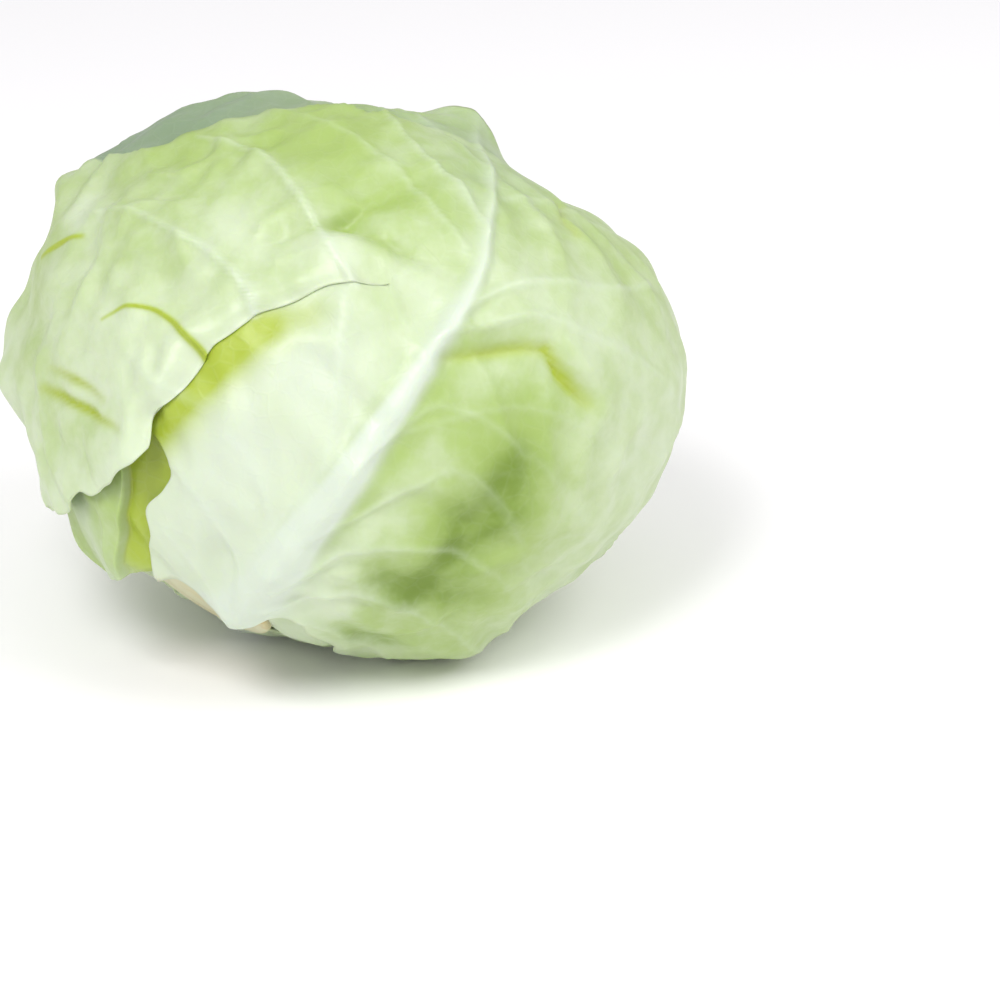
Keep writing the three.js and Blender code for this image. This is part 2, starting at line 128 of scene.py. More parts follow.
def along(points, t):
    """A smooth line through chart points, for t from 0 to 1."""
    points = np.asarray(points, float)
    t = np.atleast_1d(np.asarray(t, float))
    last = len(points) - 1
    place = np.clip(t * last, 0, last)
    i = np.minimum(last - 1, np.floor(place).astype(int))
    f = (place - i)[:, None]
    start, end = points[i], points[i + 1]
    first, final = (i == 0)[:, None], (i == last - 1)[:, None]
    leave = np.where(first, end - start, (end - points[np.maximum(0, i - 1)]) / 2)
    arrive = np.where(final, end - start, (points[np.minimum(last, i + 2)] - start) / 2)
    course = (
        start
        + leave * f
        + (3 * (end - start) - 2 * leave - arrive) * f**2
        + (leave + arrive - 2 * (end - start)) * f**3
    )
    return course[:, 0], course[:, 1]


def ramp(values, t):
    return np.interp(t, np.linspace(0, 1, len(values)), values)


class Line:
    """A rib, fold or crease on the head, with its rise in mm and half width in degrees along it.

    A soft line has a round top and a crest a sharp one. A cliff is a crest that drops at once on its
    right, as seen from outside.
    """

    REACH = 3.2
    CLIFF_WIDTH = 0.45

    def __init__(self, ways, rise, spread, shape="soft"):
        self.ways = ways
        self.rise = rise
        self.spread = spread
        self.shape = shape

    def measure(self, directions):
        """Which directions are near the line, their share of its full rise, and that rise."""
        middle = unit(self.ways.mean(axis=0))
        far = np.linalg.norm(self.ways - middle, axis=1).max() + self.REACH * max(self.spread) * DEGREE
        near = np.flatnonzero(np.linalg.norm(directions - middle, axis=1) < far)
        spots_near = directions[near]
        best = np.full(len(near), np.inf)
        place = np.zeros(len(near))
        side = np.zeros(len(near))
        count = len(self.ways) - 1
        for i in range(count):
            start = self.ways[i]
            run = self.ways[i + 1] - start
            offset = spots_near - start
            share = np.clip(offset @ run / (run @ run), 0, 1)
            gap = np.linalg.norm(offset - share[:, None] * run, axis=1)
            closer = gap < best
            best[closer] = gap[closer]
            place[closer] = (i + share[closer]) / count
            side[closer] = (offset @ unit(np.cross(start, run)))[closer]
        reach = best / DEGREE / ramp(self.spread, place)
        if self.shape == "soft":
            share = np.exp(-(reach**2))
        else:
            share = np.maximum(np.exp(-reach) - math.exp(-self.REACH), 0)
        if self.shape == "cliff":
            share *= smoothstep(-self.CLIFF_WIDTH, self.CLIFF_WIDTH, side / DEGREE)
        return near, share, ramp(self.rise, place)

    def height(self, directions):
        total = np.zeros(len(directions))
        near, share, rise = self.measure(directions)
        total[near] = share * rise
        return total


def line(points, rise, spread, shape="soft"):
    """A line that runs smoothly through chart points."""
    steps = (len(points) - 1) * 4
    return Line(way(*along(points, np.linspace(0, 1, steps + 1))), rise, spread, shape)


def crest(points, rise, spread):
    return line(points, rise, spread, "crest")


def cliff(points, rise, spread):
    return line(points, rise, spread, "cliff")


def heights(lines, directions):
    total = np.zeros(len(directions))
    for each in lines:
        total += each.height(directions)
    return total


def closeness(lines, directions):
    """How near each direction is to the nearest of the lines, from 0 to 1."""
    most = np.zeros(len(directions))
    for each in lines:
        near, share, _ = each.measure(directions)
        most[near] = np.maximum(most[near], share)
    return most


def pucker(directions, amount):
    """Gentle quilting of a leaf between its veins, with soft creases."""
    x, y, z = (directions * 60).T
    warp = 1.1 * np.sin(0.17 * x + 0.13 * z) + 0.9 * np.sin(0.2 * y - 0.1 * x)
    slow = np.sin(0.26 * x + 0.17 * y + warp) + np.sin(0.24 * y - 0.2 * z + 1.2 * warp + 2)
    quick = np.sin(0.6 * z + 0.41 * x - 1.2 * warp + 4) + np.sin(0.7 * y - 0.55 * x + 1.3 * warp + 1)
    near_crown = smoothstep(-0.62, -0.9, directions @ BUTT)
    return amount * (1 - 0.5 * near_crown) * (0.8 - np.sqrt(slow**2 + 0.03) + 0.3 * quick)


# The torn outermost leaf: the strip left of its midrib, the flap beyond the tear, and the right wing
MIDRIB = ((12, 17), (7, 26), (3, 34), (0, 46), (-1, 58), (-1.5, 71), (-1.6, 84),
          (-1.8, 95), (-2, 106), (-5, 118), (-8, 129), (-14, 142), (-20, 152), (-26, 160))
TEAR_TIP = (-15.4, 93.5)
LIP = (TEAR_TIP, (-20.8, 90.7), (-25, 86.9), (-30, 80.3), (-33.4, 75.9), (-36, 70.5), (-38.2, 66.5),
       (-38.5, 61.5), (-41.6, 56.5), (-44.2, 52.6), (-42.4, 48))
LIP_FOOT = ((-42.4, 48), (-45.6, 44), (-50.5, 41), (-55, 37.6), (-61, 35.6), (-68.7, 34.6), (-81, 31),
            (-93, 30.5), (-104, 33), (-117, 33.5))
TORN_EDGE = ((-46, 16), (-46.5, 22), (-42, 29), (-44, 34.5), (-38.5, 40), (-38, 46), (-50, 53), (-47, 66),
             (-41, 77.5), (-34, 85), (-26.5, 90.6), (-20.5, 92.6), TEAR_TIP)
ABOVE_TEAR = (TEAR_TIP, (-14, 103), (-17, 114), (-22, 126), (-28, 139), (-34, 150), (-38, 159))
STRIP_BASE = ((-46, 16), (-36, 17.6), (-22, 18.2), (-8, 16.8), (12, 17))
STRIP_TOP = ((-38, 159), (-32, 160.5), (-26, 160))
FLAP_EDGE = ((-117, 33.5), (-124, 44), (-127, 58), (-126, 72), (-131, 86), (-127, 101),
             (-131, 116), (-124, 131), (-116, 144))
FLAP_TOP = ((-116, 144), (-100, 152), (-84, 152), (-68, 157), (-52, 157), (-38, 159))
WING_BASE = ((12, 17), (14, 22), (17, 27.5), (24, 30), (35, 28), (47, 28), (60, 29.5), (72, 29.5),
             (88, 34))
WING_EDGE = ((88, 34), (98, 44), (99, 55), (104, 68), (100, 82), (103, 96), (97, 110), (97, 124),
             (86, 138), (78, 148))
WING_TOP = ((-26, 160), (-8, 162), (14, 158), (36, 160), (58, 154), (78, 148))

# Its crest at the top, the folds of its wing, and a fold with a pocket at the upper right
TOP_CREST = ((-97, 97.5), (-90, 99), (-82, 101.5), (-78.5, 106), (-74, 115), (-68, 123), (-58, 130),
             (-44, 136), (-30, 142))
BAND_A = ((25, 50), (30, 55), (30.5, 60), (28, 66), (27, 71), (26, 76), (24, 82), (21, 88))
BAND_B = ((27, 48.5), (33.5, 51), (39, 54), (45, 59))
BAND_C = ((40, 34.5), (49, 36.5), (59, 39.5))
RIGHT_FOLD = ((0, 88), (5, 92), (12, 98.5), (16, 101))
POCKET = ((17, 101.5), (20, 100), (24, 99), (29, 98.5))

TORN_LEAF_RIBS = (
    line(MIDRIB, (3, 4.6, 4.6, 3.8, 3, 2.2, 1.5, 1, 0.4), (6, 5, 4, 2.9, 2.2, 1.7, 1.4, 1.3, 1.3)),
    line(((17, 18), (6, 21)), (1.4, 1.2), (6, 6)),
    line(((-40, 17), (-25, 17), (-8, 17.5), (6, 18)), (0.6, 1, 2, 1.2), (4, 4)),
)
# Each vein runs on the crest of a broad ridge: its course, its own rise and spread, and the ridge's
TORN_LEAF_VEINS = (
    (((1, 38), (-3, 45.7), (-7, 62.5), (-14, 75.7), (-21, 89.2)),
     (0.4, 0.5, 0.4), (1.3, 1), (0.3, 0.5), (5, 5)),
    (((-20, 90.8), (-30, 96.3), (-40, 102), (-52, 107.3), (-62, 108.6), (-74, 108)),
     (0.7, 0.6, 0.4), (1.2, 0.8), (1.2, 2.4, 2.4, 0.8), (5, 7)),
    (((-33, 77), (-36.6, 80.7), (-47, 84), (-57, 85.2), (-69.5, 86.8), (-82, 85.6)),
     (0.7, 0.6, 0.4), (1.2, 0.8), (0.8, 2.2, 2.6, 1.4), (5, 7)),
    (((2, 34), (-5, 43), (-14, 50.3), (-28, 56.5), (-42, 58.7), (-54, 62)),
     (0.4, 0.4, 0.3), (1.3, 0.9), (0.6, 0.6), (4, 5)),
    (((8, 22), (-2, 28), (-10, 34), (-27, 41.8), (-36, 46)),
     (0.5, 0.5, 0.3), (1.6, 1), (0.8, 1.2), (4, 5)),
    (((9, 19), (-6, 22), (-20, 26), (-36, 32)),
     (0.5, 0.4, 0.3), (1.6, 1), (0.6, 0.8), (4, 5)),
    (((-2, 106), (-12, 112), (-26, 118), (-44, 122), (-60, 122)),
     (0.4, 0.4, 0.2), (1.1, 0.8), (0.5, 1, 0.8), (5, 6)),
    (((-4, 114.4), (-12.5, 121.3), (-20, 123), (-34, 130), (-48, 137.6)),
     (0.7, 0.6, 0.4), (1.2, 0.8), (0.8, 2, 2), (5, 6)),
    (((-9, 131), (-24, 139), (-44, 145), (-66, 147)),
     (0.4, 0.3), (1.1, 0.8), (0.4, 0.8), (5, 5)),
    (((-1, 97), (1.5, 102.5), (6, 108.5), (14, 114.5), (27.5, 121.5), (44, 131)),
     (0.6, 0.6, 0.4), (1.2, 0.8), (0.3, 1.2, 1, 0.4), (4, 6)),
    (((-3, 87), (-1.5, 92.5), (4, 97.5), (10.5, 104.5), (20, 108), (38, 112), (58, 112)),
     (0.2, 0.5, 0.3), (1.2, 0.8), (0.3, 1.5, 1.5, 0.4, 0.3), (3, 4, 5)),
    (((0, 70), (8, 80), (20, 91), (40, 96), (64, 94)),
     (0.3, 0.2, 0.1), (1.1, 0.8), (0.1, 0.2), (4, 6)),
    (((-1.5, 62), (1, 72), (5, 81), (17, 84), (40, 84), (66, 80)),
     (0.4, 0.3, 0.1), (1.2, 0.8), (0.3, 0.3), (3, 6)),
    (((2, 48), (7, 58), (11, 67), (15.5, 74), (30, 74), (50, 70), (70, 68)),
     (0.4, 0.3, 0.1), (1.2, 0.8), (0.4, 0.4), (3, 5)),
    (((5, 34), (9, 44), (13, 52), (28, 62), (48, 66), (72, 66)),
     (0.5, 0.4, 0.1), (1.3, 0.8), (0.6, 0.7, 0.3), (3, 5)),
    (((11, 28), (15.5, 36), (25, 43.5), (36, 47.5), (54, 52), (76, 58)),
     (0.6, 0.4, 0.2), (1.5, 0.9), (0.8, 1.1, 0.6), (3, 4)),
    (((15, 21), (20, 29), (34, 32), (56, 35), (80, 42)),
     (0.5, 0.4, 0.2), (1.5, 0.9), (0.6, 0.8, 0.5), (3, 4)),
    (((-7, 124), (4, 132), (20, 139), (40, 142)),
     (0.4, 0.3), (1.1, 0.8), (0.2, 0.3), (5, 5)),
)
TORN_LEAF_FOLDS = (
    line(((-22, 104), (-42, 118), (-58, 126)), (1.2, 1.6), (9, 9)),
    line(((-70, 96), (-84, 104), (-90, 122)), (1.5, 1.5), (7, 7)),
    line(((-60, 66), (-78, 70), (-95, 78)), (1.6, 1.2), (6, 6)),
    line(((-66, 52), (-84, 52), (-102, 48)), (-0.8, -1), (5, 5)),
    crest(TOP_CREST, (0.6, 1.6, 1.8, 1.6, 0.6), (6, 7)),
    cliff(TOP_CREST, (-0.6, -2.6, -3, -2.4, -0.6), (9, 9)),
    line(BAND_A, (-0.8, -1.8, -2.6, -2.4, -1.4, -0.4), (4.5, 4.5)),
    line(BAND_B, (-1, -2.4, -1.8, -1), (3.6, 4)),
    line(BAND_C, (-1, -2, -1.4), (3.4, 3.4)),
    crest(((8, 36), (10, 39.5), (12.5, 45), (17.5, 50)), (-0.6, -1.4, -0.6), (1.6, 1.6)),
    crest(((12, 34), (21.5, 39), (33, 43.5)), (-0.8, -1.6, -0.8), (1.8, 2)),
    line(((5, 52), (10, 60), (13, 67)), (-0.6, -1), (3, 3)),
    line(((4, 77), (9, 88), (19, 93)), (-0.8, -1.6), (5, 6)),
    crest(((47, 60), (52, 52), (54, 44), (50, 36)), (-0.6, -1.6, -1.2), (2, 2)),
    line(((56, 110), (72, 100), (84, 84)), (1.4, 1.4), (7, 7)),
    line(((40, 72), (56, 74), (78, 70)), (-1, -1.6), (6, 7)),
    crest(((-49, 45), (-41, 46), (-35, 45), (-31.5, 41), (-31, 35)), (0.5, 1.3, 1.4, 0.4), (2.2, 2.6)),
    line(((-25, 41), (-20, 36), (-14.5, 33)), (-1.2, -1.6), (3, 3)),
    crest(((-40, 58), (-30, 60), (-21, 57), (-15, 49)), (0.8, 1, 0.6), (3, 3)),
    crest(((-17, 77), (-13, 67), (-10, 60), (-5, 49)), (-0.6, -1), (3, 3)),
)
FLAP_CREASE = ((-83, 52.4), (-73, 51), (-62, 49.6), (-51, 49.2))
LOWER_CREASE = ((-80, 56), (-69, 54.6), (-58, 52.6))
CROWN_CREASE = ((15, 139), (13.6, 133), (17, 130))
# Small creases: a forked one above the tear, then the flap's left side, the crown and the upper right
FINE_CREASES = (
    crest(
        ((-39, 90), (-33, 97), (-29.5, 101), (-27, 107), (-24, 113), (-20, 122)),
        (-1.4, -3.6, -3.4, -1), (2.6, 3),
    ),
    crest(((-29.5, 101), (-25, 101.8), (-18, 101.7), (-12, 102.5), (-5, 102)), (-3, -2.8, -0.8), (2.2, 2.4)),
    crest(((-35, 88), (-29, 95), (-25, 98.4), (-17, 99), (-10, 99.5)), (0.6, 1.5, 1.3, 0.4), (2.4, 2.4)),
    crest(FLAP_CREASE, (-0.8, -2, -1.8, -0.4), (1.8, 1.5)),
    crest(LOWER_CREASE, (-0.6, -1.4, -0.4), (1.5, 1.3)),
    line(((-81, 54.2), (-71, 53), (-60, 51.2), (-54, 50.8)), (0.2, 0.8, 0.6, 0.2), (1.5, 1.4)),
    crest(((-96, 92), (-86, 92), (-76, 98), (-70, 104)), (-0.6, -1.6, -0.6), (3, 3)),
    crest(((-84, 92), (-76, 90), (-66, 91), (-58, 96)), (-0.5, -1.4, -0.5), (2.6, 3)),
    crest(((-72, 76), (-62, 78), (-54, 76)), (-0.4, -1.2, -0.4), (2.4, 2.4)),
    crest(((-60, 58), (-68, 60), (-76, 56)), (-0.4, -1.2, -0.4), (2.4, 2.4)),
    crest(((-50, 104), (-58, 112), (-70, 116)), (-0.4, -1.4, -0.6), (3, 3)),
    crest(((-58, 35), (-63, 39), (-65, 44)), (-1.4, -1.2, -0.3), (2, 1.6)),
    crest(((-70, 42), (-80, 44), (-90, 42)), (-0.8, -0.8), (2.4, 2.4)),
    crest(((-76, 66), (-86, 64), (-98, 66)), (-1, -1), (2.6, 2.6)),
    crest(((-52, 92), (-66, 95), (-80, 94)), (-0.9, -0.9), (3, 3)),
    crest(((-45, 116), (-56, 115), (-68, 104)), (-0.8, -1), (3, 3)),
    crest(((-43, 140), (-34, 141), (-22, 141), (-12, 143), (-2, 137)), (-0.8, -1.6, -1.6, -0.6), (2.6, 2.6)),
    crest(RIGHT_FOLD, (-1.6, -3, -2.4), (2, 2.4)),
    crest(((-9, 118), (0, 119.4), (6.7, 124), (14, 126.4), (21, 129)), (-0.5, -0.9, -0.7), (2, 2)),
    crest(CROWN_CREASE, (-1.6, -2, -0.8), (1.8, 1.8)),
    crest(((30, 128), (40, 122), (54, 122)), (-0.4, -0.4), (2.6, 3)),
    crest(POCKET, (-2, -4.4, -2), (1.6, 2)),
    crest(((18, 105), (23, 103), (28, 102), (35, 100)), (0.6, 2.4, 1), (2.4, 2.8)),
    crest(((-96, 63), (-86, 61), (-78, 61), (-70, 64)), (-0.5, -0.7, -0.3), (2, 2)),
)
# Two slits in the flap, each with its upper side raised
SIDE_TEAR = ((-63.5, 66), (-60, 68.7), (-56, 70), (-52.5, 70.4), (-49, 70), (-44.5, 69), (-40.5, 67.6),
             (-37, 65.6))
FAR_TEAR = ((-93, 76.2), (-89, 77.6), (-85, 79), (-81, 80.2))
SLITS = (
    cliff(SIDE_TEAR, (0.2, 0.7, 0.9, 1.2), (3, 3.4)),
    cliff(FAR_TEAR, (0.3, 0.8, 0.4), (2.4, 2.4)),
)
# Painted shade: greener in creases and beside the midrib, deeper in slits and pockets, and darkest in the
# wing's folds, each with its amount as the rise
GREEN_SHADE_LINES = (
    line(
        ((8, 34), (5, 46), (4.2, 58), (3.4, 71), (3.2, 84), (3, 94)),
        (0.4, 0.7, 0.7, 0.6, 0.2), (2.6, 3.6),
    ),
    line(((-4.5, 34), (-5.6, 46), (-5, 58), (-4.6, 71), (-4.2, 84)), (0.5, 0.7, 0.7, 0.3), (1.5, 1.3)),
    line(((-33, 97), (-29.5, 101), (-27, 107), (-24, 113)), (0.3, 0.4, 0.2), (2, 2.4)),
    line(((-29.5, 101), (-25, 101.8), (-18, 101.7), (-12, 102.5)), (0.3, 0.3, 0.1), (1.8, 2)),
)
SLIT_SHADES = (
    line(SIDE_TEAR, (0.6, 1.3, 1.4, 1.8, 2), (0.4, 0.45, 0.6, 0.9)),
    line(FAR_TEAR, (0.8, 1.6, 0.9), (0.45, 0.6)),
)
CREASE_SHADES = (
    line(FLAP_CREASE, (0.6, 1.3, 1.2, 0.3), (1.1, 0.9)),
    line(LOWER_CREASE, (0.3, 0.9, 0.3), (1, 0.8)),
    line(CROWN_CREASE, (0.3, 0.5), (1.6, 1.6)),
    line(RIGHT_FOLD, (0.3, 0.8, 0.6), (1.2, 1.5)),
    line(POCKET, (0.7, 1.5, 0.5), (1, 1.6)),
)
WING_SHADES = (
    line(BAND_A, (0.2, 0.5, 0.7, 0.95, 1, 0.9, 0.6, 0.2), (6, 9)),
    line(BAND_B, (0.4, 0.9, 0.6, 0.4), (5, 6)),
    line(BAND_A, (0, 0, 0.3, 0.5, 0.5, 0.3, 0), (2.4, 3)),
    line(BAND_C, (0.4, 0.8, 0.5), (4.4, 4.6)),
)
# The flap's lip curls out and is tucked in again at its very edge, and the strip dips under it
FLAP_CURL = (
    line(LIP, (0, 1, 2.2, 3.2, 3.8, 4, 3.8), (4, 6, 8, 9, 9)),
    line(LIP_FOOT[1:], (3, 3, 3), (7, 7, 7)),
    line(LIP, (0, -1, -2.2, -3.2, -3.8, -3.6, -2.6), (1.6, 2, 2.4, 2.6, 2.6)),
)
STRIP_DIP = (
    line(
        TORN_EDGE,
        (0.4, 0, -0.2, -1, -1.6, -1.8, -1.8, -1.7, -1.6, -1.3, -0.8, 0), (4, 5, 7, 8, 9, 9, 7, 4, 3),
    ),
)

# Lumps of the torn leaf's outline, and its tints: longitude, colatitude, spread, amount
TORN_LEAF_LUMPS = (
    (-30, 163, 8, 3), (-89, 131, 7, 3), (-102, 91, 4.5, 3), (-104, 85, 4, -2.5), (-108, 67, 4.5, 2.6),
    (-108, 56, 4, 1.6), (-116, 48, 4, -2.4), (-50, 13, 11, 3), (38, 26, 9, 2.5),
    (60, 154, 6, 2.4), (52, 141, 6, 1.8),
)
GREENER = (
    (-75, 102, 12, 0.3), (-55, 116, 10, 0.3), (-50, 128, 13, 0.35), (-22, 114, 7, 0.3), (-40, 113, 8, 0.3),
    (-95, 76, 9, 0.3), (-62, 46, 7, 0.25), (-90, 60, 8, 0.25), (40, 56, 16, 0.6), (72, 48, 13, 0.4),
    (26, 62, 9, 0.4),
    (30, 72, 14, 0.5), (22, 86, 9, 0.5), (12, 80, 7, 0.3), (35, 124, 14, 0.1),
    (40, 36, 10, 0.3), (16, 50, 6, 0.25), (-80, 44, 9, 0.25), (-60, 80, 9, 0.15),
    (-18, 58, 18, -0.6), (-26, 96, 6, -0.35), (-8, 97, 7, -0.35), (4, 106, 7, -0.2), (-86, 86, 5, -0.35),
    (14, 33, 7, -0.3), (20, 112, 9, -0.25), (52, 108, 22, -0.3), (-46, 90, 6, -0.25),
    (-60, 60, 8, -0.15), (-20, 30, 16, -0.4),
    (38, 48, 4, -0.25), (26, 37, 4, -0.25), (7, 88, 4, -0.2),
)
STRIP_SHADE = (
    (-46, 49, 5, 0.8), (-43.5, 55, 6.5, 1), (-41, 61, 6.5, 1), (-37.5, 66.5, 6.5, 1), (-33.5, 72, 5.5, 0.9),
    (-29, 77, 4.5, 0.8), (-24, 82, 3.4, 0.5), (-18.5, 63, 3.4, 0.16), (-22, 65.5, 2.6, 0.14),
)
# Painted sheen on the strip, in the rib colour
STRIP_SHEEN = ((-20, 76, 13, 0.5), (-24, 56, 13, 0.5), (-22, 38, 14, 0.4), (-30, 24, 12, 0.25))
CUT_BASE = ((-45, 14.8, 1.5, 0.8), (-38, 14.8, 2.6, 0.4))
# Wax bloom and painted shade on the top band beyond the crest, which faces away from the light
BLOOM_AND_SHADE_EDGE = cliff(TOP_CREST, (1.2, 1.4, 1.2, 0.8, 0.55, 0.45), (17, 18))
BLOOM_AND_SHADE_SPOTS = (
    (-98, 108, 11, 0.4), (-88, 122, 12, 0.4), (-82, 138, 13, 0.5), (0, 150, 16, 0.3), (-12, 128, 10, 0.2),
)

# How green the torn leaf is at its base and how much greener at its crown, and the colatitudes between
BASE_GREEN = 0.2
GREEN_RISE = 0.36
GREEN_FROM = 30
GREEN_TO = 115

# Scallops of the torn lip and of its foot: how far in they reach, as a share of the flap, and their waves
RUFFLE_REACH = 0.05
LIP_WAVE = 0.3
LIP_WAVES = 64
HEM_WAVE = 0.4
HEM_WAVES = 30

STRIP_COLUMNS = 46
FLAP_COLUMNS = 132
WING_COLUMNS = 118
ROWS_BELOW_TIP = 78
ROWS_ABOVE_TIP = 72
LIP_ROWS = 92
WING_CROWDING = 1.45
RIDGE_GAIN = 1.5
VEIN_GAIN = 0.7

# The rise in mm at which a rib, vein or twig is palest, and how pale it then is
PALE_RIB = (2.6, 1)
PALE_VEIN = (1.6, 0.45)
PALE_TWIG = (1.4, 0.12)
TWIG_RISE = (0.09, 0.04)
TWIG_SPREAD = (0.8, 0.6)

# The wrapper leaves behind it, each a layer further in
BASE_COLAT = 16.2
BASE_DROP = 4
TOP_DROP = 14
TOP_WAVE = 1.6
TOP_NARROWING = 16
EDGE_WAVE = 2.4
WRAPPER_GREEN_RISE = 0.35
BASE_SHARE = 0.34
BASE_HALF_WIDTH = 38
WIDER_BASE = {"leaf_3": 14, "leaf_4": 16}
WRAPPERS = (
    {
        "name": "leaf_2", "slot": "outer_leaf", "lon": 140, "layer": 1, "half_width": 79, "widen_from": 0,
        "top": 166, "wave": 0.4, "green": 0.35, "rib": (2.4, 1.4, 0.8), "columns": 190, "rows": 190,
    },
    {
        "name": "leaf_3", "slot": "outer_leaf", "lon": -85, "layer": 2, "half_width": 72, "widen_from": 0.19,
        "top": 164, "wave": 1.9, "green": 0.72, "rib": (1.6, 0.5, 0.5), "columns": 150, "rows": 150,
    },
    {
        "name": "leaf_4", "slot": "inner_leaf", "lon": 52.5, "layer": 3, "half_width": 70, "widen_from": 0,
        "top": 151, "wave": 3.1, "green": 0.3, "rib": (1.2, 0.4, 0.4), "columns": 90, "rows": 90,
    },
    {
        "name": "leaf_5", "slot": "inner_leaf", "lon": -172, "layer": 4, "half_width": 70, "widen_from": 0,
        "top": 153, "wave": 4.4, "green": 0.4, "rib": (1.2, 0.4, 0.4), "columns": 110, "rows": 110,
    },
)
VEIN_STARTS = (42, 62, 82, 102, 120)
VEIN_COURSE = ((0, 0), (14, 10), (32, 17), (52, 19))
VEIN_RISE = (0.6, 0.5, 0.3)
VEIN_SPREAD = (1.4, 1.1, 0.8)
VEIN_RIDGE = (0.9, 1.4, 0.8)
WRAPPER_FOLDS = {
    "leaf_2": (
        line(((112, 70), (118, 96), (110, 118)), (-0.8, -0.8), (8, 8)),
        line(((168, 60), (176, 88), (170, 116)), (1.4, 1.6), (9, 9)),
        line(((208, 62), (216, 90), (206, 118)), (1.4, 1.6), (6, 6)),
    ),
    "leaf_3": (
        line(((-90, 10), (-66, 13), (-46, 13)), (5.5, 6, 4.6), (12, 12)),
        crest(((-74, 15), (-70, 22), (-66, 29), (-70, 36)), (0.8, 1.8, 1.8, 0.8), (3, 3)),
        line(((-86, 20), (-80, 27), (-80, 34)), (-1.4, -1.4), (4, 4)),
        line(((-148, 50), (-143, 80), (-146, 110)), (1.2, 1.6), (7, 7)),
        line(((-100, 17), (-124, 24), (-140, 26)), (1, 4.5, 3), (9, 12)),
        crest(((-82, 40), (-92, 30), (-100, 22)), (-1.4, -1.6), (3, 3)),
    ),
    "leaf_4": (
        line(((66, 20), (70, 27), (76, 33)), (1.5, 2.5, 1.5), (5, 6)),
    ),
    "leaf_5": (),
}
# The rolled fold of leaf_3 at the lower left, beside the pocket under the strip
ROLL = ((-70, 15), (-62.5, 20.5), (-55.5, 29), (-52.5, 36.5), (-54, 43))
FINE_LINES = {"leaf_3": (line(ROLL, (1, 1), (0.9, 0.9)),)}
ROLLS = {"leaf_3": (cliff(ROLL, (2.4, 3.4, 4, 3.8, 2.6), (9, 9)),)}

# Painted shade, a deeper green, inside the pockets at the lower left
POCKET_SHADE = (
    (-70, 35, 4, 0.9), (-50, 22, 6, 1), (-46, 30, 7, 1), (-45, 38, 8, 1), (-43, 48, 9, 1), (-40, 60, 9, 0.9),
)

HEART_LAYER = 5
HEART_SEGMENTS = 160
HEART_RINGS = 96
CROWN_RISE = 5
CROWN_DOME = 3.6
CROWN_STEP = 1.6
HEART_PUCKER = 0.4
HEART_GREEN = 0.4

# The margins of the last leaves over the crown: the longitude each faces, and its reach past the crown
MARGINS = ((40, 6), (177, -4))


def curve(points):
    return lambda t: along(points, t)


def joined(first, second, split):
    """Two curves end to end, the first up to the share `split` of the whole."""

    def both(t):
        t = np.atleast_1d(t)
        low = along(first, np.clip(t / split, 0, 1))
        high = along(second, np.clip((t - split) / (1 - split), 0, 1))
        return tuple(np.where(t <= split, a, b) for a, b in zip(low, high))

    return both


def coons(sides, u, v):
    """A patch of the chart filled in between its bottom, right, top and left edges."""
    bottom, right, top, left = sides
    ends = [np.array(side(t)).ravel() for side, t in ((bottom, 0.0), (bottom, 1.0), (top, 0.0), (top, 1.0))]
    place = []
    for k in (0, 1):
        place.append(
            (1 - v) * bottom(u)[k] + v * top(u)[k] + (1 - u) * left(v)[k] + u * right(v)[k]
            - (1 - u) * (1 - v) * ends[0][k] - u * (1 - v) * ends[1][k]
            - (1 - u) * v * ends[2][k] - u * v * ends[3][k]
        )
    return place


def veins_and_ridges(veins):
    """The veins as narrow soft lines, and the broad ridges that carry them as crests."""
    narrow = [line(course, rise, np.array(spread) * VEIN_GAIN) for course, rise, spread, _, _ in veins]
    broad = [crest(course, np.array(rise) * RIDGE_GAIN, spread) for course, _, _, rise, spread in veins]
    return narrow, broad


def branches(veins, seed, length, every):
    """Side branches that leave each vein forwards at both sides, as short curved lines."""
    draw = random.Random(seed)
    made = []
    for vein in veins:
        count = len(vein.ways)
        for i in range(3, count - 2, every):
            here = unit(vein.ways[i])
            ahead = unit(vein.ways[i + 1] - vein.ways[i - 1])
            for side in (-1, 1):
                lean = draw.uniform(38, 56) * DEGREE * side
                bend = draw.uniform(-0.5, -0.1) * side
                reach = draw.uniform(0.7, 1.2) * length * (1 - 0.45 * i / count) * DEGREE
                across = np.cross(here, ahead)
                ways = []
                for step in range(7):
                    s = step / 6
                    turn = lean + bend * s
                    heading = math.cos(turn) * ahead + math.sin(turn) * across
                    ways.append(unit(here + heading * reach * s))
                made.append(Line(np.array(ways), TWIG_RISE, TWIG_SPREAD))
    return made


# What the colours of a leaf follow, and how many times a face near a fine line is cut
MARKS = ("rib", "green", "deep", "dark", "bloom", "cut")
FINE_CUTS = 2


def refine(bm, faces, place, lines):
    """Splits each face near one of the lines into nine."""
    centres = np.array([face.calc_center_median()[:2] for face in faces]) / 2 + 0.5
    outer = place(centres[:, 0], centres[:, 1])["outer"] / MM - CENTRE
    near = closeness(lines, outer / np.linalg.norm(outer, axis=1)[:, None]) > 0.01
    edges = [edge for face, crossed in zip(faces, near) if crossed for edge in face.edges]
    bmesh.ops.subdivide_edges(bm, edges=list(dict.fromkeys(edges)), cuts=FINE_CUTS, use_grid_fill=True)


